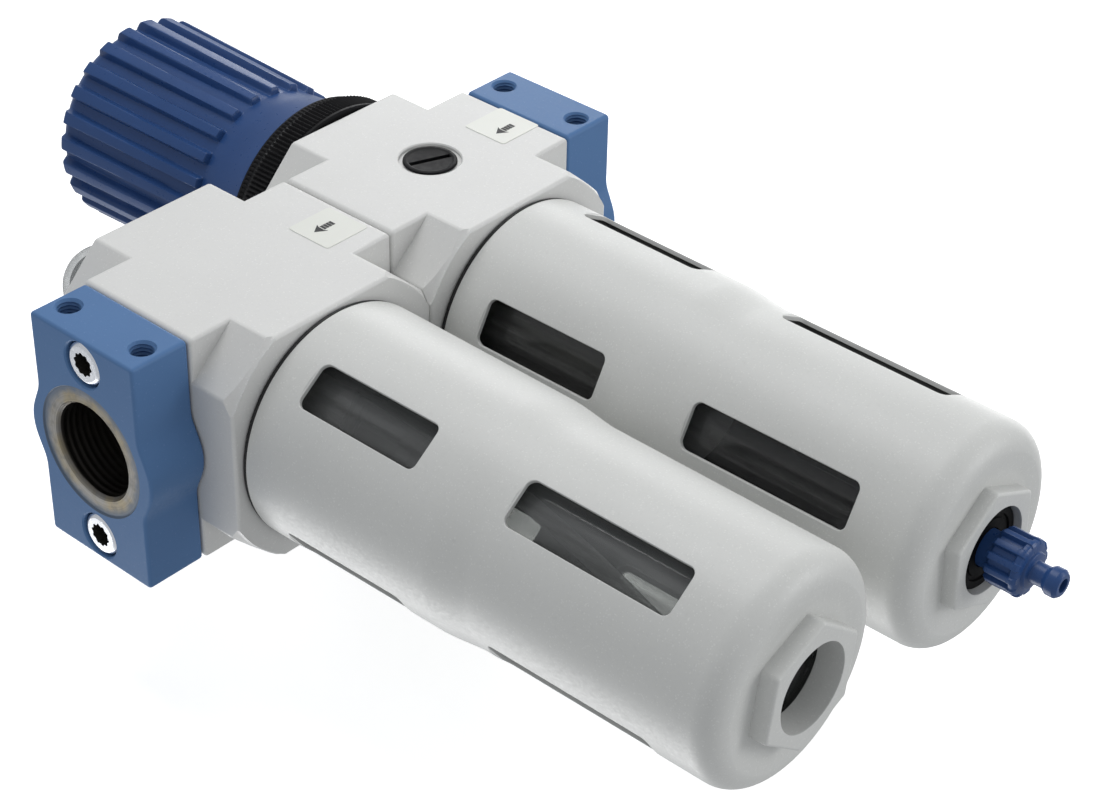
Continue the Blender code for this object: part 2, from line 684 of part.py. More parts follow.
def guard_profile():
    """Metal sleeve: threaded spigot, wide part, waist, narrow part, rounded end."""
    corner, steps = 8.5, 2
    points = [
        (GUARD_BORE_R, -171.0), (22.0, -170.8), (26.6, -166.0), (26.8, -101.0), (28.6, -91.5), (28.6, -36.5),
        (25.3, -34.5), (25.3, -21.0), (27.1, -21.0), (27.1, GUARD_TOP), (GUARD_R, GUARD_TOP),
        (GUARD_R - 0.5, -90.5), (NARROW_R + 0.3, -101.5), (NARROW_R, GUARD_END + corner),
    ]
    for index in range(1, steps + 1):
        angle = math.pi / 2 * index / steps
        points.append((NARROW_R - corner + corner * math.cos(angle), GUARD_END + corner * (1 - math.sin(angle))))
    points += [(15.0, GUARD_END + 2.0), (GUARD_BORE_R, GUARD_END + 2.0)]
    return points


def window(low, high):
    """Rounded rectangle across the guard wall, cut from inside towards +X."""
    half = WINDOW_W / 2
    corner = WINDOW_CORNER
    outline = []
    for x_side, y_side, start in ((1, 1, 0), (-1, 1, 90), (-1, -1, 180), (1, -1, 270)):
        centre_a = x_side * (half - corner)
        centre_z = (low + high) / 2 + y_side * ((high - low) / 2 - corner)
        for index in range(2):
            angle = math.radians(start + 90 * index)
            outline.append((centre_a + corner * math.cos(angle), centre_z + corner * math.sin(angle)))
    return to_x(prism(outline, 20.0, 36.0))


def bowl_guard(name, finish, parent, module):
    turn = WINDOW_TURN[module]
    guard = solid(name, turned(guard_profile(), WIDE), finish, parent, spin=turn)
    corner_turn = math.radians(HEX_TURN[module] - turn)
    boss = prism(regular(6, HEX_CORNER_R, corner_turn), HEX_END, GUARD_END + 3.2)
    combine(guard, [boss], "UNION")
    combine(guard, [cylinder(GUARD_BORE_R, HEX_END - 1, -169.0, SMALL)])
    cuts = []
    for low, high in WINDOWS_Z:
        for index in range(4):
            cut = window(low, high)
            cut.transform(Matrix.Rotation(index * math.pi / 2, 4, "Z"))
            cuts.append(cut)
    return combine(guard, cuts)


def bowl_seals(prefix, finish, parent):
    solid(prefix + "_bowl_seal", tube(23.6, 26.4, -18.2, -16.8), finish, parent)
    solid(prefix + "_guard_gasket", tube(27.5, 30.6, GUARD_TOP + 0.2, BODY_BASE - 0.2), finish, parent)


# ---- drain ------------------------------------------------------------------
def drain_set(mats, parent):
    body = [
        (5.0, HEX_END + 0.9), (8.2, HEX_END + 0.9), (8.2, HEX_END + 1.6), (9.2, HEX_END + 1.6),
        (9.2, HEX_END + 0.9), (10.7, HEX_END + 0.9), (10.7, BOWL_BASE - 0.4), (5.2, BOWL_BASE - 0.4),
        (5.2, -158.0), (2.4, -158.0), (2.4, -168.0), (5.0, -169.6),
    ]
    solid("drain_body", turned(body, SMALL), mats["black"], parent)
    solid("drain_nut", tube_hex(8.8, 6.3, -163.9, -160.0), mats["white"], parent)
    pin = [(0, -169.0), (1.6, -169.0), (1.6, -159.0), (1.9, -158.0), (1.9, -156.6), (0, -155.6)]
    solid("drain_pin", turned(pin, TINY), mats["rubber"], parent)
    drain_knob(mats["knob"], parent)


def tube_hex(corner_r, inner, low, high):
    shape = bmesh.new()
    rings = []
    for radius, corners in ((corner_r, 6), (inner, 6)):
        for height in (low, high):
            rings.append([shape.verts.new((*point, height)) for point in regular(corners, radius)])
    outer_low, outer_high, inner_low, inner_high = rings
    for step in range(6):
        after = (step + 1) % 6
        shape.faces.new((outer_low[step], outer_low[after], outer_high[after], outer_high[step]))
        shape.faces.new((inner_low[after], inner_low[step], inner_high[step], inner_high[after]))
        shape.faces.new((outer_low[after], outer_low[step], inner_low[step], inner_low[after]))
        shape.faces.new((outer_high[step], outer_high[after], inner_high[after], inner_high[step]))
    return shape


def drain_knob(finish, parent):
    """Thumb wheel that ends in a hose barb, with a bore through it."""
    top, wheel_base, tip = -169.9, -187.2, -196.6
    profile = [
        (1.4, tip), (2.9, tip), (3.4, tip + 0.7), (3.4, tip + 3.2), (2.9, tip + 4.0), (2.9, wheel_base - 1.0),
        (4.4, wheel_base - 0.9), (4.6, wheel_base), (6.2, wheel_base), (7.1, wheel_base + 1.2), (7.1, -178.4),
        (4.7, -178.4), (4.7, top), (1.4, top),
    ]
    return solid("drain_knob", turned(profile, 12), finish, parent)


# ---- lubricator internals ---------------------------------------------------
def lubricator_set(mats, parent):
    corner = TOP_CORNER
    dome = [
        (0, 65.0), (5.5, 63.6), (9.6, 59.8), (11.0, 54.0), (11.0, 31.4), (12.0, 31.0), (12.0, 26.4),
        (9.2, 26.4), (9.2, 54.0), (7.9, 59.0), (4.6, 62.1), (0, 63.2),
    ]
    solid("sight_dome", turned(dome, ROUND), mats["clear"], parent)
    ring = [(11.4, 32.6), (14.2, 32.6), (14.2, 37.6), (13.6, 38.2), (11.4, 38.2)]
    solid("dome_ring", turned(ring, ROUND), mats["black"], parent)
    nozzle = [(1.1, 20.5), (8.6, 20.5), (8.6, 23.0), (3.2, 24.0), (2.6, 46.0), (1.1, 46.0)]
    solid("drip_nozzle", turned(nozzle, TINY), mats["white"], parent)
    screw = [(0, 26.0), (2.6, 26.0), (2.6, 32.6), (3.6, 32.6), (3.6, 35.2), (3.1, 35.8), (0, 35.8)]
    screw = solid("drip_screw", turned(screw, TINY), mats["brass"], parent)
    screw.location = Vector((-corner, -corner, 0)) * MM
    slot = prism([(-4, -0.5), (4, -0.5), (4, 0.5), (-4, 0.5)], 34.6, 37.0)
    combine(screw, [slot])
    needle = [(0, 22.4), (0.8, 23.6), (1.5, 24.4), (1.5, 25.6), (0, 25.6)]
    needle = solid("drip_needle", turned(needle, TINY), mats["zinc"], parent)
    needle.location = Vector((-corner, -corner, 0)) * MM
    plug = [(0, 23.6), (4.9, 23.6), (4.9, 33.6), (5.9, 33.6), (5.9, 36.4), (5.3, 37.0), (0, 37.0)]
    plug = solid("oil_fill_plug", turned(plug, SMALL), mats["black"], parent)
    plug.location = Vector((corner, -corner, 0)) * MM
    combine(plug, [prism(regular(6, 3.2), 34.4, 38.0)])
    ring = solid("oil_plug_seal", tube(5.2, 5.8, BODY_TOP + 0.15, 33.4, SMALL), mats["rubber"], parent)
    ring.location = Vector((corner, -corner, 0)) * MM
    venturi = [(7.0, -1.5), (7.0, 1.5), (9.2, 8.0), (10.1, 8.0), (10.1, -8.0), (9.2, -8.0)]
    venturi = solid("venturi_insert", to_x(turned(venturi, SMALL)), mats["white"], parent)
    combine(venturi, [cylinder(1.2, 5.0, 12.0, TINY)])
    solid("venturi_flap", to_x(tube(4.0, 10.0, 8.5, 9.5, SMALL)), mats["rubber"], parent)
    siphon(mats, parent)


def siphon(mats, parent):
    """Slanted suction tube with a strainer and a check ball at its foot."""
    head = Vector((0, SIPHON_Y, -16.9))
    bend = Vector((0, SIPHON_Y, -40.0))
    path = [head, bend, Vector(SIPHON_FOOT)]
    pipe = solid("siphon_tube", hollow_sweep(path, 2.2, 1.2, TINY), mats["clear"], parent)
    x, y, z = SIPHON_FOOT
    cup = [
        (1.0, z - 8.0), (4.6, z - 8.0), (4.6, z - 0.6), (2.0, z - 0.6), (2.0, z - 1.6), (3.2, z - 3.0),
        (3.2, z - 6.0), (1.0, z - 7.2),
    ]
    solid("siphon_strainer", moved(turned(cup, SMALL), x=x, y=y), mats["white"], parent)
    ball = bmesh.new()
    bmesh.ops.create_icosphere(ball, subdivisions=1, radius=1.6)
    ball = solid("check_ball", ball, mats["zinc"], parent)
    ball.location = Vector((x, y, z - 4.9)) * MM
    return pipe


def hollow_sweep(path, outer, inner, sides):
    """Open-ended round tube along a path, closed between its two walls at each end."""
    shape = bmesh.new()
    walls = []
    side = Vector((1, 0, 0))
    for radius in (outer, inner):
        rings = []
        for index, point in enumerate(path):
            ahead = path[min(index + 1, len(path) - 1)]
            behind = path[max(index - 1, 0)]
            along = (ahead - behind).normalized()
            first = (side - along * side.dot(along)).normalized()
            second = along.cross(first)
            ring = []
            for step in range(sides):
                angle = math.tau * step / sides
                offset = first * math.cos(angle) + second * math.sin(angle)
                ring.append(shape.verts.new(point + offset * radius))
            rings.append(ring)
        walls.append(rings)
    for rings in walls:
        for lower, upper in zip(rings, rings[1:]):
            for step in range(sides):
                after = (step + 1) % sides
                shape.faces.new((lower[step], lower[after], upper[after], upper[step]))
    for end in (0, -1):
        for step in range(sides):
            after = (step + 1) % sides
            outer_ring, inner_ring = walls[0][end], walls[1][end]
            shape.faces.new((outer_ring[step], outer_ring[after], inner_ring[after], inner_ring[step]))
    bmesh.ops.recalc_face_normals(shape, faces=shape.faces)
    return shape


# ---- assembly ---------------------------------------------------------------
def build():
    clear_scene()
    mats = finishes()
    regulator = axis_empty("regulator_axis", -HALF)
    lubricator = axis_empty("lubricator_axis", HALF)
    gauge = axis_empty("gauge_axis", -HALF, -BACK)

    regulator_body(mats["body"], regulator)
    lubricator_body(mats["body"], lubricator)
    for name, side in (("inlet", -1), ("outlet", 1)):
        connecting_plate(name + "_plate", mats["blue"], side)
        plate_screw(name + "_screw_front", mats["zinc"], side, -SCREW_Y)
        plate_screw(name + "_screw_rear", mats["zinc"], side, SCREW_Y)
        face_seal(name + "_seal", mats["rubber"], PITCH + GAP / 2, side)
    seam_pieces(mats["zinc"], mats["rubber"])
    gauge_port_plug(mats["black"], regulator)
    pressure_gauge(mats, gauge)

    regulator_head(mats, regulator)
    valve_set(mats, regulator)
    clear_bowl("filter_bowl", mats["clear"], regulator, hole_r=5.6)
    bowl_guard("filter_guard", mats["body"], regulator, "filter")
    bowl_seals("filter", mats["rubber"], regulator)
    drain_set(mats, regulator)

    clear_bowl("lubricator_bowl", mats["clear"], lubricator)
    bowl_guard("lubricator_guard", mats["body"], lubricator, "lubricator")
    bowl_seals("lubricator", mats["rubber"], lubricator)
    lubricator_set(mats, lubricator)
    hang_on_origin()


def hang_on_origin():
    """Move the whole unit so that the world origin is the centre of the inlet plate's wall face."""
    inlet_plate_middle = PITCH + GAP / 2 + TAPPED[0]
    origin = axis_empty("wall_face_origin", inlet_plate_middle, -BACK)
    for item in list(bpy.data.objects):
        if item.parent is None and item is not origin:
            item.parent = origin


build()
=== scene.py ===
"""Looks of the filter regulator lubricator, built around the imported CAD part.

Pieces are modelled in millimetres about the port axis: x = 0 is the seam between the two
modules, y = 0 and z = 0 the port axis.  piece() moves them into the frame, in metres.
"""
import json
import math

import bmesh
import bpy
from mathutils import Matrix, Vector


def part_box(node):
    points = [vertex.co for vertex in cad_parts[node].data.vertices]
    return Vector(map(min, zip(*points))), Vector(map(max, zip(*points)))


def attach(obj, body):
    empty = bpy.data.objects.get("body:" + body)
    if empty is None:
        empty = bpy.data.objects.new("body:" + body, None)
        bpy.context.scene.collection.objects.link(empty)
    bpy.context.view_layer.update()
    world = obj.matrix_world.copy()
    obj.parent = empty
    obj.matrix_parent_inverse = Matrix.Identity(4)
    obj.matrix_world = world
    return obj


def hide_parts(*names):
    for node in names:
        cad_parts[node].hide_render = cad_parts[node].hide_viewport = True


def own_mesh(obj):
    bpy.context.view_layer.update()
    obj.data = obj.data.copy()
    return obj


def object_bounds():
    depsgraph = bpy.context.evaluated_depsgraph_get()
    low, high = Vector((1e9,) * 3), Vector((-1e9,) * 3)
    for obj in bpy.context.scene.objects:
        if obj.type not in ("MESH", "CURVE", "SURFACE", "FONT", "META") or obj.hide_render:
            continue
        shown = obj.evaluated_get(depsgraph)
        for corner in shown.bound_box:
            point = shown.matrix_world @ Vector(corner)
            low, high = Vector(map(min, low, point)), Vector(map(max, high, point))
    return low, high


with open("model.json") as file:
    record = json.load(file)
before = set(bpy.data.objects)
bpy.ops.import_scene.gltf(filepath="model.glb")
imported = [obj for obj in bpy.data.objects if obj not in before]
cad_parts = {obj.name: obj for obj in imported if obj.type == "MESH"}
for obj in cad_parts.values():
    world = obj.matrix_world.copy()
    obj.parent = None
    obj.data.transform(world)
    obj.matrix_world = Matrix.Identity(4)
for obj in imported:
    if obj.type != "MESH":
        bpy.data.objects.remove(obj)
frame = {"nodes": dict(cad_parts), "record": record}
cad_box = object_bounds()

MM = 0.001


# ---- places and sizes, read from the frame ----
def box(node):
    """Lowest and highest corner of a CAD node, in millimetres about the frame's origin."""
    low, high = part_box(node)
    return low / MM, high / MM


def middle(*nodes):
    """Centre of the box around some nodes."""
    lows, highs = zip(*(box(node) for node in nodes))
    low = Vector(min(corner[axis] for corner in lows) for axis in range(3))
    high = Vector(max(corner[axis] for corner in highs) for axis in range(3))
    return (low + high) / 2


def local(node):
    """A node's box about the port axis and the seam."""
    low, high = box(node)
    return low - SEAM, high - SEAM


SLOTS = {part["node"]: part["material_slot"] for part in frame["record"]["subparts"]}
SEAM = middle("inlet_plate", "outlet_plate")
REGULATOR = middle("regulator_body").x - SEAM.x
LUBRICATOR = middle("lubricator_body").x - SEAM.x
BODY_LOW, BODY_HIGH = local("lubricator_body")
HALF = (BODY_HIGH.x - BODY_LOW.x) / 2
BACK = BODY_HIGH.y
PLATE_LOW, PLATE_HIGH = local("outlet_plate")
GUARD_LOW, GUARD_HIGH = local("lubricator_guard")
GASKET_LOW, GASKET_HIGH = local("lubricator_guard_gasket")
BOWL_LOW, BOWL_HIGH = local("lubricator_bowl")
KNOB_LOW, KNOB_HIGH = local("adjusting_knob")
RING_LOW, RING_HIGH = local("lock_ring")
WHEEL_LOW, WHEEL_HIGH = local("drain_knob")
DOME_LOW, DOME_HIGH = local("sight_dome")
GAUGE_LOW, GAUGE_HIGH = local("gauge_case")

BAND = (-18.6, 19.25)               # the full-width band of a body, low and high
BASE_NOTCH = (13.0, 12.0)           # corner cut below the band (x, y)
TOP_NOTCH = (14.3, 14.3)
COLLAR_R = 36.6                     # turned foot of a body
PORT_R = 10.5                       # air passage behind the port's thread
THREAD_R = 12.4                     # bore inside the port's thread
THREAD_PITCH = 1.81
FACED_R = 17.3                      # bare ring around the port
SCREW_Y = 25.0
SCREW_SEAT_R = 6.1
TAPPED_X, TAPPED_Z, TAPPED_R = 9.1, 13.0, 2.75      # wall holes of a plate
CAVITY_R, CAVITY_TOP = 27.5, -16.5                  # room for a bowl's upper end
GUARD_TOP = GASKET_LOW.z + 0.2
GUARD_R = (GUARD_HIGH.x - GUARD_LOW.x) / 2
NARROW_R = 28.9
WAIST = (-90.0, -102.5)             # where a guard's wide part ends and its narrow part begins
GUARD_FOOT_Z = -165.0               # below this the narrow part no longer tapers
GUARD_END = {"filter": GUARD_LOW.z - 0.85, "lubricator": GUARD_LOW.z + 0.8}
GUARD_BORE_R = 11.1
HEX_CORNER_R = 16.8
HEX_STANDS = {"filter": 3.9, "lubricator": 4.7}     # height of the hexagon on a guard's flat end
WINDOWS = {"filter": ((-81.0, -43.8), (-155.0, -107.4)),
           "lubricator": ((-80.0, -43.2), (-153.0, -106.3))}
WINDOW_W = 12.0
WINDOW_TURN = {"filter": 29.0, "lubricator": 53.4}  # these turns are in degrees
HEX_TURN = {"filter": 25.5, "lubricator": 38.5}
PLUG_TURN = 68.0                    # slot of the rear gauge port's plug
TOP_CORNER = 14.5                   # fill plug and drip screw, from the lubricator axis
KNOB_RIBS = 24
KNOB_TURN = 7.0
LOCK_TEETH = 160


# ---- mesh helpers ----
def fillet(corners, default=0.0, steps=3):
    """Round the corners of a closed outline; a corner is (x, y) or (x, y, radius)."""
    rounded = []
    for index, corner in enumerate(corners):
        here = Vector(corner[:2])
        radius = corner[2] if len(corner) > 2 else default
        back = Vector(corners[index - 1][:2]) - here
        ahead = Vector(corners[(index + 1) % len(corners)][:2]) - here
        if radius <= 0 or min(back.length, ahead.length) < 1e-6:
            rounded.append(here)
            continue
        half = back.angle(ahead) / 2
        if half > 1.55:             # straight on, to about a degree
            rounded.append(here)
            continue
        reach = min(radius / math.tan(half), 0.49 * back.length, 0.49 * ahead.length)
        centre = here + (back.normalized() + ahead.normalized()).normalized() * (reach / math.cos(half))
        start = here + back.normalized() * reach - centre
        end = here + ahead.normalized() * reach - centre
        sweep = (math.pi - 2 * half) * math.copysign(1, start.x * end.y - start.y * end.x)
        for step in range(steps + 1):
            angle = sweep * step / steps
            turn = Matrix.Rotation(angle, 2)
            rounded.append(centre + turn @ start)
    return rounded


def arc(centre, radius, start, end, steps):
    """Points along an arc of the (radius, height) plane, from one angle in degrees to another."""
    angles = [math.radians(start + (end - start) * k / steps) for k in range(steps + 1)]
    return [(centre[0] + radius * math.cos(angle), centre[1] + radius * math.sin(angle)) for angle in angles]


def loft(rings, closed=False):
    """Skin rings of equal length; ends are capped unless the last ring meets the first."""
    shape = bmesh.new()
    rows = [[shape.verts.new(point) for point in ring] for ring in rings]
    pairs = list(zip(rows, rows[1:]))
    if closed:
        pairs.append((rows[-1], rows[0]))
    for low, high in pairs:
        for step in range(len(low)):
            after = (step + 1) % len(low)
            shape.faces.new((low[step], low[after], high[after], high[step]))
    if not closed:
        shape.faces.new(list(reversed(rows[0])))
        shape.faces.new(rows[-1])
    bmesh.ops.recalc_face_normals(shape, faces=shape.faces)
    return shape


def lathe(profile, segments=96, rounding=0.0, steps=3, radius_at=None):
    """Turn a closed (radius, height) outline about Z; on-axis points become poles."""
    outline = fillet([c if c[0] > 0 else (c[0], c[1], 0) for c in profile], rounding, steps)
    shape = bmesh.new()
    rows = []
    for radius, height in outline:
        if radius < 1e-6:
            rows.append([shape.verts.new((0, 0, height))])
            continue
        row = []
        for step in range(segments):
            angle = math.tau * step / segments
            reach = radius_at(radius, height, angle) if radius_at else radius
            row.append(shape.verts.new((reach * math.cos(angle), reach * math.sin(angle), height)))
        rows.append(row)
    for index, low in enumerate(rows):
        high = rows[(index + 1) % len(rows)]
        if len(low) == 1 and len(high) == 1:
            continue
        for step in range(segments):
            after = (step + 1) % segments
            corners = [low[step % len(low)], low[after % len(low)],
                       high[after % len(high)], high[step % len(high)]]
            shape.faces.new(list(dict.fromkeys(corners)))
    bmesh.ops.recalc_face_normals(shape, faces=shape.faces)
    return shape


def toothed(from_r, depth, count):
    """Rule for lathe(): what lies beyond a radius gets a ring of rounded teeth."""
    def rule(radius, height, angle):
        return radius - depth * (0.5 - 0.5 * math.cos(count * angle)) if radius > from_r else radius
    return rule


def prism(corners, low, high, corner_r=0.0, edge_r=0.0, steps=3, corner_steps=4):
    """Straight solid over an outline, with rounded corners and rounded end edges."""
    outline = fillet(corners, corner_r, corner_steps)
    count = len(outline)
    outward = []
    for index in range(count):
        back = outline[index] - outline[index - 1]
        ahead = outline[(index + 1) % count] - outline[index]
        along = back.normalized() + ahead.normalized()
        normal = Vector((along.y, -along.x)).normalized()
        outward.append(normal / max(0.5, normal.dot(Vector((ahead.y, -ahead.x)).normalized())))
    rows = []
    angles = [math.pi / 2 * k / steps for k in range(steps + 1)]
    levels = [(edge_r * (1 - math.sin(angle)), low + edge_r * (1 - math.cos(angle))) for angle in angles]
    levels += [(inset, high + low - height) for inset, height in reversed(levels)]
    if edge_r == 0:
        levels = [(0, low), (0, high)]
    for inset, height in levels:
        rows.append([(*(point - normal * inset), height) for point, normal in zip(outline, outward)])
    return loft(rows)


def rod(radius, low, high, segments=96):
    """Plain round bar along Z, used to cut holes."""
    return lathe([(0, low), (radius, low), (radius, high), (0, high)], segments)


def oblong(half_x, half_y):
    """Corners of a rectangle about the origin."""
    return [(-half_x, -half_y), (half_x, -half_y), (half_x, half_y), (-half_x, half_y)]


def regular(corners, radius, turn=0.0):
    """Corners of a regular polygon."""
    angles = [turn + math.tau * k / corners for k in range(corners)]
    return [(radius * math.cos(angle), radius * math.sin(angle)) for angle in angles]


def thread(core_r, depth, pitch, low, high, segments=64, rows_per_turn=8):
    """Solid with a helical ridge, used to cut a tapped hole along Z."""
    rows = []
    count = int((high - low) / pitch * rows_per_turn)
    for index in range(count + 1):
        height = low + (high - low) * index / count
        row = []
        for step in range(segments):
            phase = (height / pitch - step / segments) % 1.0
            ridge = min(1.0, 2.4 * abs(phase - 0.5))
            reach = core_r + depth * ridge
            angle = math.tau * step / segments
            row.append((reach * math.cos(angle), reach * math.sin(angle), height))
        rows.append(row)
    return loft(rows)


def add_slab(shape, outline, low, high):
    """Add a straight solid over an outline to a bmesh."""
    rows = [[shape.verts.new((*point, height)) for point in outline] for height in (low, high)]
    shape.faces.new(rows[0][::-1])
    shape.faces.new(rows[1])
    for k in range(len(outline)):
        after = (k + 1) % len(outline)
        shape.faces.new((rows[0][k], rows[0][after], rows[1][after], rows[1][k]))


def swept(path, radius, sides=10, bore=0.0, across=(0, 0, 1)):
    """Round bar that follows a list of points, or a tube if it has a bore."""
    side = Vector(across)

    def ring(index, size):
        along = (path[min(index + 1, len(path) - 1)] - path[max(index - 1, 0)]).normalized()
        first = (side - along * side.dot(along)).normalized()
        second = along.cross(first)
        turns = [math.tau * step / sides for step in range(sides)]
        return [path[index] + first * size * math.cos(turn) + second * size * math.sin(turn)
                for turn in turns]

    rows = [ring(index, radius) for index in range(len(path))]
    if not bore:
        return loft(rows)
    rows += [ring(index, bore) for index in reversed(range(len(path)))]
    return loft(rows, closed=True)


def placed(shape, x=0.0, y=0.0, z=0.0, turn=0.0, axis="Z"):
    """Turn a shape about Z, point its Z axis along another axis, and move it."""
    shape.transform(Matrix.Rotation(math.radians(turn), 4, "Z"))
    if axis == "X":
        shape.transform(Matrix(((0, 0, 1, 0), (1, 0, 0, 0), (0, 1, 0, 0), (0, 0, 0, 1))))
    if axis == "Y":
        shape.transform(Matrix(((0, 1, 0, 0), (0, 0, 1, 0), (1, 0, 0, 0), (0, 0, 0, 1))))
    if axis == "-Y":
        shape.transform(Matrix.Rotation(math.pi / 2, 4, "X"))
    shape.transform(Matrix.Translation((x, y, z)))
    return shape


def to_mesh(name, shape, material=None):
    """A mesh from a bmesh, which is freed."""
    mesh = bpy.data.meshes.new(name)
    shape.normal_update()
    shape.to_mesh(mesh)
    shape.free()
    if material:
        mesh.materials.append(material)
    return mesh


def linked(name, mesh):
    """A new object of the scene."""
    item = bpy.data.objects.new(name, mesh)
    bpy.context.scene.collection.objects.link(item)
    return item


def combine(shape, tools, operation, material, tool_material=None):
    """Boolean of a bmesh, or of an earlier result, with some bmeshes; the result is a work object."""
    earlier = isinstance(shape, bpy.types.Object)
    target = shape if earlier else linked("work", to_mesh("work", shape, material))
    for tool_shape in tools:
        tool = linked("tool", to_mesh("tool", tool_shape, tool_material or material))
        step = target.modifiers.new("step", "BOOLEAN")
        step.operation = operation
        step.object = tool
        step.material_mode = "TRANSFER"
        bpy.context.view_layer.update()
        seen = target.evaluated_get(bpy.context.evaluated_depsgraph_get())
        result = bpy.data.meshes.new_from_object(seen)
        target.modifiers.remove(step)
        target.data = result
        bpy.data.objects.remove(tool)
    return target


def taken(work):
    """A work object's shape as a bmesh; the object goes."""
    shape = bmesh.new()
    shape.from_mesh(work.data)
    bpy.data.objects.remove(work)
    return shape


def cut(shape, tools, material, tool_material=None):
    """Take tools away from a shape; the faces they leave can have a material of their own."""
    return combine(shape, tools, "DIFFERENCE", material, tool_material)


def on_side(work, side):
    """Mirror a work object over the seam if its side is negative."""
    if side < 0:
        work.data.transform(Matrix.Scale(-1, 4, Vector((1, 0, 0))))
        work.data.flip_normals()
    return work


def moved(work, x, y=0.0):
    """Slide a work object's mesh along the unit or towards the wall."""
    work.data.transform(Matrix.Translation((x, y, 0)))
    return work


def finished(name, made, material, body="unit", sharp=32.0):
    """Put a bmesh or a work object into the frame as a piece that rides on a body.

    A piece named after a CAD node stands in for that node, which is hidden.
    """
    item = made if isinstance(made, bpy.types.Object) else linked(name, to_mesh(name, made, material))
    item.name = name
    item.data.name = name
    shape = bmesh.new()
    shape.from_mesh(item.data)
    bmesh.ops.remove_doubles(shape, verts=shape.verts, dist=0.002)
    shape.to_mesh(item.data)
    shape.free()
    item.data.transform(Matrix.Scale(MM, 4) @ Matrix.Translation(SEAM))
    item.data.shade_smooth()
    item.data.set_sharp_from_angle(angle=math.radians(sharp))
    weighted = item.modifiers.new("weighted", "WEIGHTED_NORMAL")
    weighted.keep_sharp = True
    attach(item, body)
    if name in frame["nodes"]:
        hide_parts(name)
    return item


def turned(name, profile, axis_x, material, body="unit", segments=96, steps=3, radius_at=None):
    """A piece that is a plain turned shape about a vertical axis."""
    shape = lathe(profile, segments, steps=steps, radius_at=radius_at)
    finished(name, placed(shape, x=axis_x), material, body)


# ---- materials ----
class Finish:
    """A Principled material with helpers for the noises that drive it."""

    def __init__(self, name, colour, roughness, metallic=0.0):
        self.material = bpy.data.materials.new(name)
        self.material.use_nodes = True
        self.tree = self.material.node_tree
        self.shader = self.tree.nodes["Principled BSDF"]
        self.shader.inputs["Metallic"].default_value = metallic
        self.place = self.node("ShaderNodeTexCoord").outputs["Object"]
        self.colour = self.rgb(colour)
        self.roughness = roughness
        self.height = None

    def node(self, kind, **inputs):
        made = self.tree.nodes.new(kind)
        for key, value in inputs.items():
            made.inputs[key.replace("_", " ")].default_value = value
        return made

    def link(self, source, target):
        self.tree.links.new(source, target)

    def rgb(self, colour):
        made = self.node("ShaderNodeRGB")
        made.outputs[0].default_value = (*colour, 1.0)
        return made.outputs[0]

    def noise(self, size_mm, detail=3.0, stretch=None):
        """Noise whose features measure about size_mm, stretched along an axis if asked."""
        made = self.node("ShaderNodeTexNoise", Scale=1.0 / (size_mm * MM), Detail=detail)
        source = self.place
        if stretch:
            mapping = self.node("ShaderNodeMapping")
            mapping.inputs["Scale"].default_value = stretch
            self.link(source, mapping.inputs["Vector"])
            source = mapping.outputs[0]
        self.link(source, made.inputs["Vector"])
        return made.outputs["Fac"]

    def ramp(self, source, low, high, start=0.0, end=1.0):
        made = self.node("ShaderNodeMapRange", From_Min=low, From_Max=high, To_Min=start, To_Max=end)
        self.link(source, made.inputs["Value"])
        return made.outputs["Result"]

    def math(self, operation, source, other=None, kind="Math"):
        """A math or vector math node; `other` is a number, a vector or a socket."""
        made = self.node("ShaderNode" + kind)
        made.operation = operation
        self.link(source, made.inputs[0])
        if isinstance(other, bpy.types.NodeSocket):
            self.link(other, made.inputs[1])
        elif other is not None:
            made.inputs[1].default_value = other
        return made.outputs["Value" if operation == "LENGTH" else 0]

    def mixed(self, mask, first, second):
        """Show a mix of two shaders instead of the Principled one alone."""
        mix = self.node("ShaderNodeMixShader")
        for source, place in ((mask, 0), (first.outputs[0], 1), (second.outputs[0], 2)):
            self.link(source, mix.inputs[place])
        self.link(mix.outputs[0], self.tree.nodes["Material Output"].inputs["Surface"])
        return self.material

    def tint(self, mask, colour):
        """Blend towards a colour where mask is 1."""
        made = self.tree.nodes.new("ShaderNodeMix")
        made.data_type = "RGBA"
        self.link(mask, made.inputs[0])
        self.link(self.colour, made.inputs[6])
        self.link(self.rgb(colour), made.inputs[7])
        self.colour = made.outputs[2]
        return self

    def patches(self, size_mm, detail, low, high, share, colour, stretch=None):
        """Blend towards a colour where a noise passes from low to high."""
        return self.tint(self.ramp(self.noise(size_mm, detail, stretch), low, high, 0.0, share), colour)

    def gloss(self, size_mm, detail, smooth, rough):
        """Roughness that wanders between two values."""
        self.roughness = self.ramp(self.noise(size_mm, detail), 0.3, 0.7, smooth, rough)
        return self

    def bump(self, source, depth_mm):
        """Stack one more height map on the surface."""
        made = self.node("ShaderNodeBump", Distance=depth_mm * MM, Strength=1.0)
        self.link(source, made.inputs["Height"])
        if self.height:
            self.link(self.height, made.inputs["Normal"])
        self.height = made.outputs["Normal"]
        return self

    def done(self, **inputs):
        self.link(self.colour, self.shader.inputs["Base Color"])
        if isinstance(self.roughness, float):
            self.shader.inputs["Roughness"].default_value = self.roughness
        else:
            self.link(self.roughness, self.shader.inputs["Roughness"])
        if self.height:
            self.link(self.height, self.shader.inputs["Normal"])
        for key, value in inputs.items():
            self.shader.inputs[key.replace("_", " ")].default_value = value
        return self.material


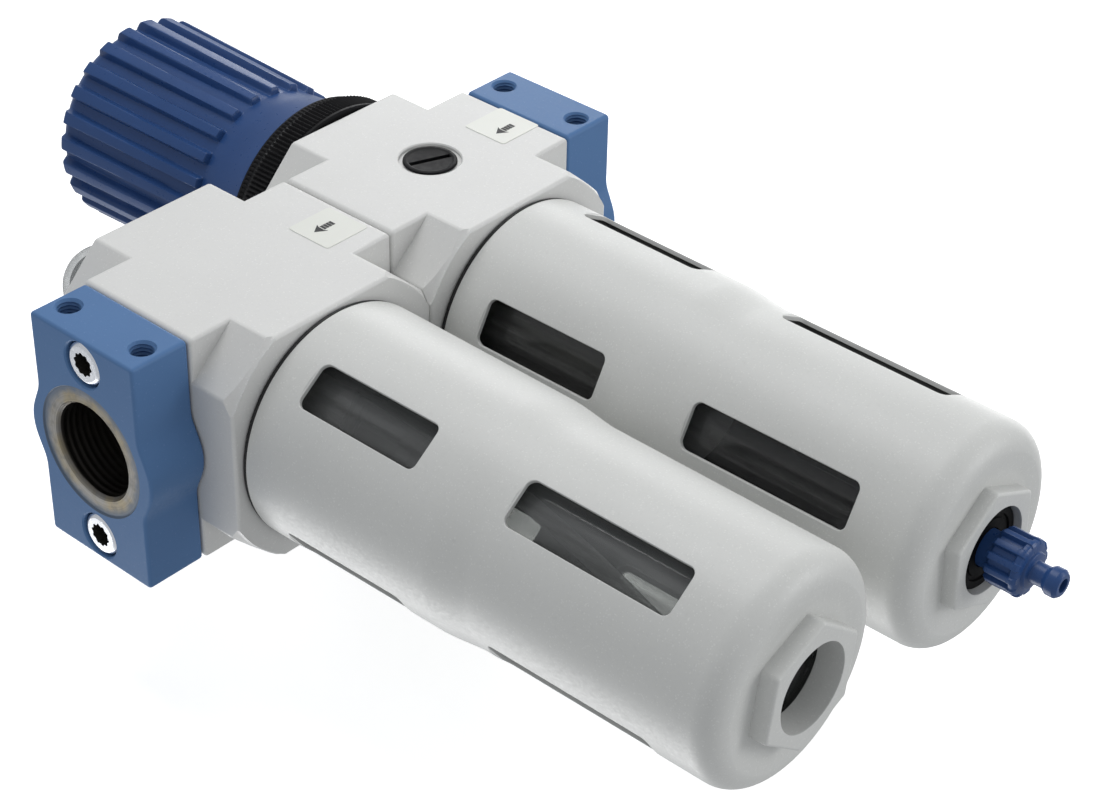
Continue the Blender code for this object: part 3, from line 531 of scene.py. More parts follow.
def speckle(finish, size_mm, share):
    """Mask of the few random cells that catch the light."""
    cells = finish.node("ShaderNodeTexVoronoi", Scale=1.0 / (size_mm * MM))
    finish.link(finish.place, cells.inputs["Vector"])
    split = finish.node("ShaderNodeSeparateColor")
    finish.link(cells.outputs["Color"], split.inputs[0])
    return finish.ramp(split.outputs[0], 1.0 - share, 1.0 - share * 0.7)


def grey_paint(name, colour, glint=0.03):
    """Matt grey powder paint on a casting: faint mottling, fine grain and a few flakes painted lighter as
    glints.
    """
    finish = Finish(name, colour, 0.5)
    finish.patches(22, 2.0, 0.35, 0.75, 0.35, [c * 0.93 for c in colour])
    finish.patches(1.1, 2.0, 0.55, 0.80, 0.35, [c * 0.88 for c in colour])
    # Lighter random cells: painted glints.
    finish.tint(speckle(finish, 0.3, glint), [min(1.0, c * 1.09) for c in colour])
    finish.patches(3.0, 4.0, 0.72, 0.76, 0.2, [c * 0.75 for c in colour])
    finish.gloss(0.8, 2.0, 0.34, 0.52)
    finish.bump(finish.noise(0.45, 2.0), 0.012).bump(finish.noise(2.6, 2.0), 0.02)
    return finish.done(Specular_IOR_Level=0.45)


def blue_paint():
    """Blue paint on the plates, with a few flakes painted lighter as glints, and small pale rubs."""
    finish = Finish("paint_blue", (0.096, 0.195, 0.385), 0.4)
    finish.patches(14, 2.0, 0.35, 0.75, 0.4, (0.09, 0.18, 0.36))
    # Lighter random cells: painted glints.
    finish.tint(speckle(finish, 0.3, 0.01), (0.12, 0.22, 0.42))
    finish.patches(1.8, 4.0, 0.73, 0.77, 0.3, (0.22, 0.32, 0.48))
    finish.gloss(0.9, 2.0, 0.30, 0.46)
    finish.bump(finish.noise(0.5, 2.0), 0.008).bump(finish.noise(3.0, 2.0), 0.015)
    return finish.done(Specular_IOR_Level=0.12)


def moulded(name, colour, roughness=(0.28, 0.42), grain=0.006, scuff=1.35, shine=0.4, flow=0.8):
    """Moulded plastic: a slight flow pattern, very fine grain and light scuffs."""
    finish = Finish(name, colour, 0.4)
    finish.patches(10, 3.0, 0.3, 0.8, 0.5, [c * flow for c in colour])
    finish.patches(1.2, 5.0, 0.66, 0.74, 0.35, [c * scuff + 0.01 for c in colour], (1.0, 1.0, 0.12))
    finish.gloss(1.5, 3.0, *roughness)
    finish.bump(finish.noise(0.35, 2.0), grain)
    return finish.done(Specular_IOR_Level=shine)


def metal(name, colour, roughness=(0.2, 0.42), grain=0.006, patina=0.72):
    """Machined or plated metal, with tool marks and a patchy patina."""
    finish = Finish(name, colour, 0.3, 1.0)
    finish.patches(2.5, 4.0, 0.4, 0.7, 0.6, [c * patina for c in colour])
    finish.gloss(1.0, 4.0, *roughness)
    finish.bump(finish.noise(0.25, 2.0), grain)
    return finish.done()


def port_metal():
    """Bare turned metal of the port: concentric tool marks about the port axis, stained brown, darkening into
    the bore as painted shade.
    """
    finish = Finish("port_metal", (0.30, 0.29, 0.27), 0.35, 1.0)
    centred = finish.math("SUBTRACT", finish.place, Vector(SEAM) * MM, "VectorMath")
    along = finish.node("ShaderNodeSeparateXYZ")
    finish.link(centred, along.inputs[0])
    reach = finish.math("ABSOLUTE", along.outputs["X"])
    across = finish.math("MULTIPLY", centred, (0, 1, 1), "VectorMath")
    radius = finish.math("LENGTH", across, kind="VectorMath")
    rings = finish.node("ShaderNodeTexNoise", Scale=1.0 / (0.5 * MM), Detail=2.0)
    rings.noise_dimensions = "1D"
    finish.link(radius, rings.inputs["W"])
    finish.patches(7.0, 3.0, 0.42, 0.62, 0.8, (0.33, 0.28, 0.18))
    finish.patches(3.0, 4.0, 0.50, 0.72, 0.7, (0.16, 0.155, 0.15))
    # Darker deeper than 1.2 mm inside the port's face: painted shade in the bore.
    outside = (PLATE_HIGH.x - 0.5) * MM
    finish.tint(finish.ramp(reach, outside, outside - 1.2 * MM, 0.0, 0.94), (0.055, 0.05, 0.047))
    ragged = finish.math("ADD", finish.math("MULTIPLY", finish.noise(2.5, 3.0), 2.2 * MM), radius)
    paint = finish.ramp(ragged, 16.2 * MM, 18.0 * MM)
    finish.tint(paint, (0.10, 0.14, 0.20))
    finish.link(finish.ramp(paint, 0.0, 1.0, 1.0, 0.0), finish.shader.inputs["Metallic"])
    finish.roughness = finish.ramp(rings.outputs["Fac"], 0.35, 0.65, 0.32, 0.55)
    finish.bump(rings.outputs["Fac"], 0.012)
    return finish.done()


def rubber():
    """Matt black seal rubber."""
    finish = Finish("seal_rubber", (0.012, 0.012, 0.013), 0.6)
    finish.patches(1.5, 3.0, 0.5, 0.8, 0.5, (0.03, 0.03, 0.032))
    finish.gloss(0.8, 3.0, 0.5, 0.75)
    finish.bump(finish.noise(0.4, 2.0), 0.01)
    return finish.done()


def clear_plastic(name, tint, roughness, see_through, haze=0.0):
    """Clear moulding: mostly see-through, solid towards grazing angles, with streaks of haze along it."""
    finish = Finish(name, tint, 0.1)
    flow = finish.noise(5.0, 3.0, stretch=(1.0, 1.0, 0.08))
    finish.tint(finish.ramp(flow, 0.4, 0.7, 0.0, 0.6), [c * 0.8 for c in tint])
    finish.roughness = finish.ramp(flow, 0.35, 0.7, roughness * 0.6, roughness * 1.6)
    finish.bump(flow, 0.004)
    finish.done(IOR=1.5, Specular_IOR_Level=0.8)
    glassy = finish.node("ShaderNodeBsdfTransparent", Color=(*see_through, 1.0))
    facing = finish.node("ShaderNodeLayerWeight", Blend=0.25)
    edge = finish.ramp(facing.outputs["Facing"], 0.0, 1.0, 0.10, 0.75)
    streaks = finish.ramp(finish.noise(3.0, 4.0, (1.0, 1.0, 0.06)), 0.38, 0.68, 0.25 * haze, haze)
    return finish.mixed(finish.math("ADD", edge, streaks), glassy, finish.shader)


GREY = grey_paint("paint_grey", (0.68, 0.68, 0.665))
GUARD_GREY = grey_paint("paint_guard", (0.64, 0.645, 0.625), 0.05)
# The guards' inner faces: darker greys as painted shade inside the sleeves.
FILTER_GUARD_INSIDE_SHADE = grey_paint("guard_inside_filter_shade", (0.12, 0.12, 0.117), 0.02)
LUBRICATOR_GUARD_INSIDE_SHADE = grey_paint("guard_inside_lubricator_shade", (0.40, 0.40, 0.39), 0.02)
BLUE = blue_paint()
KNOB_BLUE = moulded("moulded_blue", (0.026, 0.072, 0.215), (0.27, 0.33), 0.003, shine=0.3)
BLACK = moulded("moulded_black", (0.007, 0.007, 0.008), (0.42, 0.56), scuff=2.0, shine=0.12)
DRAIN_BLACK = moulded("drain_black", (0.004, 0.004, 0.0045), (0.5, 0.62), scuff=2.0, shine=0.08)
WHITE = moulded("moulded_white", (0.72, 0.72, 0.70), (0.35, 0.5), scuff=1.05)
ZINC = metal("zinc_plate", (0.92, 0.94, 0.98), (0.26, 0.36), 0.002, 0.9)
# Near-black for the walls of a screw's socket: painted shadow in the recess.
SOCKET_PAINTED_SHADOW = moulded("socket_shadow", (0.02, 0.019, 0.016), (0.5, 0.7), scuff=1.5)
BRASS = metal("turned_brass", (0.72, 0.54, 0.25))
PORT_METAL = port_metal()
RUBBER = rubber()
CLEAR = clear_plastic("clear_dome", (0.10, 0.102, 0.10), 0.05, (0.84, 0.85, 0.85), 0.1)
WATER_BOWL = clear_plastic("filter_bowl_clear", (0.10, 0.10, 0.10), 0.06, (0.86, 0.87, 0.87), 0.35)
OIL_BOWL = clear_plastic("oil_bowl_clear", (0.24, 0.245, 0.245), 0.06, (0.90, 0.91, 0.90), 0.35)
MILKY = clear_plastic("siphon_tube", (0.80, 0.81, 0.80), 0.08, (0.85, 0.86, 0.85), 0.5)
LENS = clear_plastic("gauge_glass", (0.6, 0.6, 0.6), 0.04, (0.97, 0.98, 0.98))
SINTERED = grey_paint("sintered_filter", (0.62, 0.60, 0.54), 0.1)
DIAL_WHITE = moulded("dial_white", (0.86, 0.86, 0.84), (0.4, 0.5), 0.002, 1.0)
INK = moulded("printing_ink", (0.02, 0.02, 0.022), (0.5, 0.6), 0.002, 1.5)
LABEL = moulded("label_film", (0.72, 0.73, 0.68), (0.28, 0.34), 0.001, 0.97, 0.3, 0.97)


# ---- module bodies ----
def octagon(notch, corner_r):
    """A body's outline where its four corners are cut off."""
    near_x, near_y = HALF - notch[0], BACK - notch[1]
    points = []
    for x_side, y_side in ((1, 1), (-1, 1), (-1, -1), (1, -1)):
        pair = [(x_side * HALF, y_side * near_y, corner_r), (x_side * near_x, y_side * BACK, corner_r)]
        points += pair if x_side * y_side > 0 else pair[::-1]
    return points


def module_body(name, axis_x, cuts):
    """Octagon, full-width band and octagon, joined, with the bowl end turned down a little."""
    edge, low, high = 0.9, BODY_LOW.z, BODY_HIGH.z
    band = [(HALF, BACK), (-HALF, BACK), (-HALF, -BACK), (HALF, -BACK)]
    lower = prism(octagon(BASE_NOTCH, 1.6), low, BAND[1] - 4, 0, edge)
    upper = prism(octagon(TOP_NOTCH, 1.6), BAND[0] + 4, high, 0, edge)
    block = combine(lower, [prism(band, *BAND, 1.4, edge), upper], "UNION", GREY)
    far = COLLAR_R + 30
    collar = [(0, low - 1), (COLLAR_R, low - 1), (COLLAR_R, low + 0.6, 2.0), (COLLAR_R + 4, low + 6, 3.0),
              (far, low + 8), (far, high + 1), (0, high + 1)]
    turned_down = combine(block, [lathe(collar, 160, steps=4)], "INTERSECT", GREY)
    finished(name, moved(cut(turned_down, cuts, GREY), axis_x), GREY)


def bowl_cavity():
    """Open space that the bowl's upper end screws into."""
    return rod(CAVITY_R, BODY_LOW.z - 2, CAVITY_TOP)


def passage(low, high):
    """Air passage along the port axis."""
    return placed(rod(PORT_R, low, high, 48), axis="X")


def side_holes():
    """Screw and stud holes in both sides of a body."""
    cuts = []
    for y in (-SCREW_Y, SCREW_Y):
        for low, high in ((-HALF - 1, -HALF + 14), (HALF - 14, HALF + 1)):
            cuts.append(placed(rod(2.7, low, high, 24), y=y, axis="X"))
    return cuts


def regulator_body():
    """The inlet leads down into the bowl; the air comes back up through the valve to the outlet."""
    high = BODY_HIGH.z
    valve_room = [(0, CAVITY_TOP - 1), (8.0, CAVITY_TOP - 1), (8.0, -9.5), (12.0, -9.5), (12.0, 12.0),
                  (3.2, 12.0), (3.2, 21.0), (0, 21.0)]
    spring_room = [(0, 20.5), (24.0, 20.5), (24.0, 28.0), (28.6, 28.0), (28.6, high - 0.5),
                   (29.6, high + 0.5), (0, high + 0.5)]
    way_down = placed(rod(5.5, CAVITY_TOP - 1, 0, 32), x=-20.5)
    cuts = [bowl_cavity(), lathe(valve_room, 48), lathe(spring_room)]
    cuts += [passage(0, HALF + 1), passage(-HALF - 1, -18.5), way_down] + side_holes()
    spot = BACK - 1.0
    for axis, face_r in (("Y", 8.2), ("-Y", 8.6)):
        port = [(0, 8.0), (6.4, 8.0), (6.4, spot), (face_r, spot), (face_r, BACK - 0.3),
                (face_r + 0.6, BACK + 0.3), (0, BACK + 0.3)]
        cuts.append(placed(lathe(port, 64), axis=axis))
    return module_body("regulator_body", REGULATOR, cuts)


def lubricator_body():
    """The air goes straight through; the dome, the drip screw and the fill plug stand in its top."""
    high = BODY_HIGH.z
    seat = [(0, 16.0), (9.0, 16.0), (9.0, 26.0), (12.6, 26.0), (12.6, high + 1), (0, high + 1)]
    cuts = [bowl_cavity(), lathe(seat, 64), passage(-HALF - 1, HALF + 1)] + side_holes()
    for x, radius, depth in ((TOP_CORNER, 5.4, 20.0), (-TOP_CORNER, 3.0, 22.0)):
        cuts.append(placed(rod(radius, depth, high + 1, 32), x=x, y=-TOP_CORNER))
    return module_body("lubricator_body", LUBRICATOR, cuts)


def rear_label(name, x, z, arrow_x, arrow_z):
    """Plain film label with a flow arrow made of a head and four bars."""
    side, film = 14.0, 0.12
    plate = prism(oblong(side / 2, side / 2), 0, film, 0.8, 0.05, steps=2)
    finished(name, placed(plate, x=x, y=BACK + 0.01, z=z, axis="Y"), LABEL)
    strips = [[(0, 6.2), (1.95, 3.3), (0.95, 3.75), (-0.95, 3.75), (-1.95, 3.3)]]
    for index in range(4):
        start, end = 0.95 * index - 0.2, 0.95 * index + 0.62
        strips.append([(-0.95, start), (-0.95, end), (0.95, end), (0.95, start)])
    arrow = bmesh.new()
    for strip in strips:
        add_slab(arrow, strip, film - 0.01, film + 0.04)
    bmesh.ops.recalc_face_normals(arrow, faces=arrow.faces)
    finished(name + "_arrow", placed(arrow, x=arrow_x, y=BACK, z=arrow_z, axis="Y"), INK)


# ---- plates ----
def plate_outline():
    """Rectangle whose long edges swell around the port; (y, z) corners with their radii."""
    height, boss = 18.2, 22.9
    corners = []
    for side in (-1, 1):
        corners += [(side * -BACK, side * height, 1.2), (side * -10.7, side * height, 9.0),
                    (0, side * boss, 17.0),
                    (side * 10.7, side * height, 9.0), (side * BACK, side * height, 1.2)]
    return corners[::-1]


def connecting_plate(name, side):
    """Painted plate with screw seats and wall threads, and a bare threaded port in a faced ring."""
    inner, outer = PLATE_LOW.x, PLATE_HIGH.x
    plate = placed(prism(plate_outline(), inner, outer, 0, 0.9, 4, 6), axis="X")
    painted = []
    for y in (-SCREW_Y, SCREW_Y):
        seat = [(0, outer - 6.5), (SCREW_SEAT_R, outer - 6.5), (SCREW_SEAT_R, outer - 0.35),
                (SCREW_SEAT_R + 0.7, outer + 0.35), (0, outer + 0.35)]
        painted.append(placed(lathe(seat, 64), y=y, axis="X"))
        painted.append(placed(rod(2.8, inner - 1, outer, 32), y=y, axis="X"))
    for z in (-TAPPED_Z, TAPPED_Z):
        hole = thread(TAPPED_R, 0.45, 1.0, BACK - 12, BACK + 0.6, 40)
        sink = [(0, BACK - 0.9), (TAPPED_R, BACK - 0.9), (TAPPED_R + 0.95, BACK + 0.3), (0, BACK + 0.3)]
        painted += [placed(tool, x=inner + TAPPED_X, z=z, axis="Y") for tool in (hole, lathe(sink, 40))]
    faced = [(0, outer - 0.4), (FACED_R, outer - 0.4), (FACED_R + 0.5, outer + 0.4), (0, outer + 0.4)]
    mouth = [(0, outer - 1.9), (12.0, outer - 1.9), (12.9, outer - 1.0), (13.4, outer - 0.2),
             (13.4, outer + 1), (0, outer + 1)]
    bare = [
        placed(lathe(faced), axis="X"),
        placed(thread(THREAD_R, 0.18, THREAD_PITCH, inner + 3, outer - 1.2, 96), axis="X"),
        placed(lathe(mouth, 80), axis="X", turn=1.3),
        placed(rod(PORT_R, inner - 1, inner + 4, 64), axis="X"),
    ]
    work = cut(cut(plate, painted, BLUE), bare, BLUE, PORT_METAL)
    finished(name, on_side(work, side), BLUE)


def star(lobes, outer, inner, steps=6):
    """Soft star outline for a screw socket."""
    points = []
    count = lobes * steps
    for index in range(count):
        angle = math.tau * index / count
        share = 0.5 + 0.5 * math.cos(lobes * angle)
        radius = inner + (outer - inner) * share
        points.append((radius * math.cos(angle), radius * math.sin(angle)))
    return points


def plate_screw(name, side, y):
    """Zinc plated cap screw with a ten-lobed socket, whose walls are painted near-black as shadow."""
    low, high = local("outlet_screw_rear")
    top = high.x + 0.7
    profile = [(0, top), (4.7, top, 0.5), (5.6, top - 0.7, 0.4), (5.6, top - 5.0, 0.2), (2.4, top - 5.0),
               (2.4, low.x), (0, low.x)]
    head = placed(lathe(profile, 64, steps=4), y=y, axis="X")
    socket = placed(prism(star(10, 3.2, 2.72), top - 3.0, top + 1), y=y, axis="X", turn=10)
    finished(name, on_side(cut(head, [socket], ZINC, SOCKET_PAINTED_SHADOW), side), ZINC)


def gauge_port_plug():
    """Black slotted plug in the rear gauge port."""
    face = BACK - 0.1
    profile = [(0, face - 12), (5.4, face - 12), (6.0, face - 11.4), (6.0, face - 0.6), (7.1, face - 0.6),
               (7.1, face - 0.1, 0.3), (6.2, face, 0.3), (5.6, face - 0.25), (0, face - 0.25)]
    plug = placed(lathe(profile, 64, steps=3), x=REGULATOR, axis="Y")
    slot = placed(prism(oblong(5.7, 0.8), face - 1.7, face + 1, 0.2), x=REGULATOR, axis="Y", turn=PLUG_TURN)
    finished("gauge_port_plug", cut(plug, [slot], BLACK), BLACK)


# ---- guards and bowls ----
def guard_radius(height):
    """Outer radius of a guard's side: wide, a soft waist, then narrow."""
    wide_end, narrow_start = WAIST
    wide_r, narrow_r = GUARD_R - 0.5, NARROW_R + 0.3
    if height > wide_end:
        return GUARD_R + (wide_r - GUARD_R) * (GUARD_TOP - height) / (GUARD_TOP - wide_end)
    if height < narrow_start:
        share = max(0.0, (height - GUARD_FOOT_Z) / (narrow_start - GUARD_FOOT_Z))
        return NARROW_R + (narrow_r - NARROW_R) * share
    share = (height - narrow_start) / (wide_end - narrow_start)
    smooth = 0.5 * share + 0.5 * share * share * (3 - 2 * share)
    return narrow_r + (wide_r - narrow_r) * smooth


def guard_profile(low, plane):
    """Section of a guard whose hexagon ends at `low`; `plane` is its flat end face inside a raised rim."""
    end, corner, rim = low + 3.2, 6.5, plane - 0.6
    points = [(GUARD_BORE_R, end + 4.0), (21.0, end + 4.0, 1.0), (26.3, end + 9.0, 3.0), (26.6, -103.0, 6.0),
              (28.6, -88.0, 6.0), (28.6, -36.5, 0.5), (25.3, -34.5, 0.5), (25.3, -21.0), (27.1, -21.0),
              (27.1, GUARD_TOP), (GUARD_R, GUARD_TOP, 0.5)]
    rows = 14
    for index in range(rows + 1):
        height = WAIST[0] + (WAIST[1] - WAIST[0]) * index / rows
        points.append((guard_radius(height), height))
    points += arc((NARROW_R - corner, rim + corner), corner, 0, -86, 14)
    points += [(20.6, rim + 0.25), (19.2, plane - 0.05), (18.0, plane), (GUARD_BORE_R, plane)]
    return points


def window_cutter(low, high):
    """Rounded rectangle through the wall towards +X, flared where it meets the outer face."""
    levels = ((-6.5, 1.5), (-1.5, 1.2), (-1.1, 0.0), (-0.3, 0.0), (-0.1, 0.08), (0.0, 0.25), (0.6, 0.9),
              (4.0, 0.9))
    rows = []
    for depth, grow in levels:
        half = WINDOW_W / 2 + grow
        corners = [(half, low - grow), (half, high + grow), (-half, high + grow), (-half, low - grow)]
        ring = []
        for across, height in fillet(corners, 2.0 + grow, 5):
            reach = guard_radius(height) + depth
            ring.append((math.sqrt(reach * reach - across * across), across, height))
        rows.append(ring)
    return loft(rows)


def bowl_guard(module, axis_x, body, inside_shade):
    """Painted sleeve with a hexagon at its foot, eight windows, and a darker grey on its inside as painted
    shade.
    """
    low, floor = GUARD_END[module], GUARD_END[module] + 8.6
    shape = lathe(guard_profile(low, low + HEX_STANDS[module]), 160, steps=6)
    hexagon = prism(regular(6, HEX_CORNER_R, math.radians(HEX_TURN[module])), low, low + 6.6, 1.1, 0.8)
    joined = combine(shape, [hexagon], "UNION", GUARD_GREY)
    bore = [(0, low - 1), (GUARD_BORE_R + 0.6, low - 1), (GUARD_BORE_R, low + 0.3), (GUARD_BORE_R, floor),
            (0, floor)]
    cuts = [lathe(bore)]
    for span in WINDOWS[module]:
        for quarter in range(4):
            cuts.append(placed(window_cutter(*span), turn=WINDOW_TURN[module] + 90 * quarter))
    work = cut(joined, cuts, GUARD_GREY)
    # Faces inside the sleeve take the darker grey: painted shade.
    work.data.materials.append(inside_shade)
    inside = len(work.data.materials) - 1
    for face in work.data.polygons:
        reach = math.hypot(face.center.x, face.center.y)
        if floor + 0.1 < face.center.z < GUARD_TOP - 1.0 and reach < guard_radius(face.center.z) - 1.2:
            face.material_index = inside
    finished(module + "_guard", moved(work, axis_x), GUARD_GREY, body)


def clear_bowl(name, axis_x, body, hole_r, material):
    """Round-bottomed bowl with a flange, and a hole for the drain if it has a radius."""
    outer = 24.9
    base, top = BOWL_LOW.z, BOWL_HIGH.z
    hole = [(hole_r, base), (hole_r, base + 1.8)] if hole_r else [(0, base), (0, base + 1.8)]
    rim = [(outer - 1.8, top), (26.8, top), (26.8, top - 2.0), (outer, top - 2.0), (outer, base, 9.0)]
    profile = rim + hole + [(outer - 1.8, base + 1.8, 7.2)]
    if not hole_r:
        profile = profile[6:] + profile[:6]
    turned(name, profile, axis_x, material, body, steps=8)


def siphon_tube():
    """Soft pick-up tube: straight out of the body, then slanting with a slight bow down to its strainer."""
    low, high = local("siphon_tube")
    foot = (local("siphon_strainer")[0] + local("siphon_strainer")[1]) / 2
    foot.z = low.z
    head = Vector((LUBRICATOR, high.y - 2.2, high.z))
    bend = Vector((head.x, head.y, -40.0))
    turn = math.radians(WINDOW_TURN["lubricator"] + 90)
    path = [head, (head + bend * 2) / 3]
    steps = 30
    for index in range(steps + 1):
        share = index / steps
        bow = 4.0 * math.sin(math.pi * share)
        path.append(bend.lerp(foot, share) + Vector((bow * math.cos(turn), bow * math.sin(turn), 0)))
    tube = swept(path, 2.2, 20, 1.2, across=(1, 0, 0))
    finished("siphon_tube", tube, MILKY)


def coil_spring(node, wire_r, turns):
    """Compression spring with flat end turns."""
    low, high = local(node)
    mean_r = (high.x - low.x) / 2 - wire_r
    steps = 28
    flat = 0.5 / turns
    path = []
    for index in range(turns * steps + 1):
        share = index / (turns * steps)
        rise = min(max((share - flat) / (1 - 2 * flat), 0.0), 1.0)
        height = low.z + wire_r + (high.z - low.z - 2 * wire_r) * (0.04 * share + 0.96 * rise)
        angle = math.tau * index / steps
        path.append(Vector((mean_r * math.cos(angle), mean_r * math.sin(angle), height)))
    spring = finished(node, placed(swept(path, wire_r), x=REGULATOR), ZINC)
    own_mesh(spring)


def guard_gasket(name, axis_x, body):
    """Black ring between a guard and its body."""
    low, high = GUARD_TOP + 0.02, GASKET_HIGH.z
    ring = [(27.5, low), (30.8, low, 0.3), (30.8, high, 0.3), (27.5, high)]
    turned(name, ring, axis_x, RUBBER, body, 128)


# ---- regulator head ----
def adjusting_knob():
    """Cap with a flared smooth skirt and long ribs that end square above it."""
    base, top = KNOB_LOW.z, KNOB_HIGH.z
    rib_start = base + 17.0

    def skirt(height):
        """Radius between the ribs."""
        rise = height - base
        if rise < 16.0:
            return 27.0 + 2.7 * (1 - rise / 16.0) ** 1.8
        return 26.7 + 1.0 * (rise - 16.0) / (top - base - 19.0)

    def rib(height):
        """How far the ribs stand out at this height."""
        grown = min(max((height - rib_start) / 0.6, 0.0), 1.0)
        faded = min(max((top - 1.4 - height) / 1.6, 0.0), 1.0)
        full = 1.8 + 0.7 * (height - rib_start) / (top - rib_start)
        return full * (1 - (1 - grown) ** 2) * faded ** 0.4

    def widest(height):
        """Half width of a rib's foot, as a share of the pitch; the ribs grow wider towards the top."""
        return 0.27 + 0.05 * min(max((height - rib_start) / (top - rib_start), 0.0), 1.0)

    heights = [base, base + 0.5] + [base + 2.0 * k for k in range(1, 8)]
    heights += [rib_start + rise for rise in (-0.4, 0.0, 0.12, 0.35, 0.6, 0.9, 1.4)]
    heights += [rib_start + 2 + 4.0 * k for k in range(13)]
    heights += [top - drop for drop in (3.4, 2.6, 2.0, 1.6, 1.4, 0.9, 0.4, 0.0)]
    per_rib = 28
    rows = []
    for height in sorted(set(heights)):
        edge = 1.0
        if height > top - 3.4:
            edge = 1 - 0.055 * ((height - top + 3.4) / 3.4) ** 2
        if height < base + 0.5:
            edge = 0.992
        row = []
        for step in range(KNOB_RIBS * per_rib):
            angle = math.tau * step / (KNOB_RIBS * per_rib) + math.radians(KNOB_TURN)
            across = (step / per_rib + 0.5) % 1.0 - 0.5
            flank = min(max((widest(height) - abs(across)) / 0.11, 0.0), 1.0)
            raised = flank * flank * (3 - 2 * flank)
            radius = (skirt(height) + rib(height) * raised) * edge
            row.append((radius * math.cos(angle), radius * math.sin(angle), height))
        rows.append(row)
    roof = base + 60.0
    inside = [(0, base - 1), (28.6, base - 1), (27.6, base + 0.6), (27.6, base + 5), (25.3, base + 8),
              (25.3, roof + 3.2), (9.0, roof + 3.2), (9.0, roof - 0.3), (4.4, roof - 0.3), (4.4, roof + 10),
              (0, roof + 10)]
    dish = [(0, top + 1), (0, top - 1.4), (20.0, top - 1.4, 0.6), (21.6, top - 0.2, 0.6), (23.0, top + 1)]
    work = cut(loft(rows), [lathe(inside, 100), lathe(dish, 100)], KNOB_BLUE)
    finished("adjusting_knob", moved(work, REGULATOR), KNOB_BLUE, "knob", sharp=50)


def lock_ring():
    """Black panel nut: smooth flange, a wide knurled band and a row of fine ticks next to the knob."""
    low, high = RING_LOW.z, RING_HIGH.z
    knurl_low, knurl_high = low + 1.6, high - 3.6

    def knurled(radius, height, angle):
        """Teeth on the wide band, and shallower ones on the row of ticks."""
        if knurl_low < height < knurl_high:
            return toothed(30.5, 0.55, LOCK_TEETH)(radius, height, angle)
        if high - 2.4 < height < high - 1.0:
            return toothed(30.5, 0.35, LOCK_TEETH)(radius, height, angle)
        return radius

    profile = [(27.4, low), (32.5, low), (32.9, low + 0.4), (32.9, low + 1.2), (32.5, knurl_low),
               (32.9, low + 1.7), (32.9, low + 3.5), (32.9, low + 5.5), (32.9, knurl_high - 0.1),
               (32.2, knurl_high), (31.7, high - 2.5), (31.7, high - 2.3), (31.7, high - 1.1),
               (31.6, high - 0.9), (31.4, high - 0.2), (31.0, high), (27.4, high)]
    turned("lock_ring", profile, REGULATOR, BLACK, segments=LOCK_TEETH * 6, radius_at=knurled)


def regulator_bonnet():
    """Spring housing under the knob, of which only the foot shows."""
    profile = [(21.0, 29.6), (28.2, 29.6), (28.2, 32.6), (27.0, 32.6), (27.0, 48.0, 0.5), (24.5, 50.0, 0.5),
               (24.5, 99.0), (23.5, 100.0), (4.4, 100.0), (4.4, 97.0), (21.0, 97.0)]
    turned("regulator_bonnet", profile, REGULATOR, BLACK)


# ---- drain ----
def drain_knob():
    """Ribbed thumb wheel with a hose barb below it."""
    tip, top = WHEEL_LOW.z, WHEEL_HIGH.z
    wheel_low = tip + 8.4

    def ribbed(radius, height, angle):
        """Twelve narrow ribs with wide gaps, standing on a shallowly scalloped flange."""
        if radius < 6.0:
            return radius
        across = abs((12 * angle / math.tau + 0.5) % 1.0 - 0.5)
        rib = min(max((0.27 - across) / 0.08, 0.0), 1.0)
        rib = rib * rib * (3 - 2 * rib)
        flange = min(max((wheel_low + 2.3 - height) / 0.5, 0.0), 1.0)
        depth = 1.25 * (1 - flange) + 0.45 * flange
        return radius - depth * (1 - rib)

    barb = [(1.8, tip), (2.8, tip, 0.3), (3.6, tip + 0.9, 0.4), (3.6, tip + 3.0, 0.4), (2.75, tip + 4.2, 0.4),
            (2.75, wheel_low - 0.9, 0.3), (4.5, wheel_low - 0.8, 0.3), (4.7, wheel_low - 0.1, 0.2)]
    rim = [(6.5, 0.0), (7.2, 0.5), (7.35, 0.9), (7.35, 1.7), (7.3, 2.0), (7.2, 2.4), (7.2, 5.0), (7.2, 8.0),
           (6.7, 8.7), (6.2, 8.8), (4.7, 8.85)]
    profile = barb + [(radius, wheel_low + rise) for radius, rise in rim] + [(4.7, top), (1.8, top)]
    turned("drain_knob", profile, REGULATOR, KNOB_BLUE, "drain_wheel", 240, radius_at=ribbed)


def drain_body():
    """Black socket in the bowl's foot, grooved around the wheel's neck."""
    low, high = local("drain_body")
    face = low.z
    profile = [(5.0, face), (7.4, face), (7.6, face + 0.5), (8.5, face + 0.5), (8.7, face), (10.7, face, 0.3),
               (10.7, face + 10.3), (5.2, face + 10.3), (5.2, high.z), (2.4, high.z), (2.4, face + 8.3),
               (5.0, face + 6.7)]
    turned("drain_body", profile, REGULATOR, DRAIN_BLACK, "filter_bowl_unit", 72)


# ---- lubricator top ----
def sight_dome():
    """Clear dome with a foot flange."""
    low, high = DOME_LOW.z, DOME_HIGH.z
    outer, inner = 11.0, 9.2
    profile = [(outer, 31.4), (12.0, 31.0), (12.0, low), (inner, low)]
    profile += arc((0, high - outer), inner, 0, 90, 12) + arc((0, high - outer), outer, 90, 0, 14)
    turned("sight_dome", profile, LUBRICATOR, CLEAR, segments=72)


def dome_ring():
    """Ring nut with finger grips that holds the dome."""
    low, high = local("dome_ring")
    ring = [(11.4, low.z), (14.2, low.z, 0.4), (14.2, high.z, 0.7), (11.4, high.z, 0.3)]
    turned("dome_ring", ring, LUBRICATOR, BLACK, segments=288, radius_at=toothed(14.1, 0.25, 36))


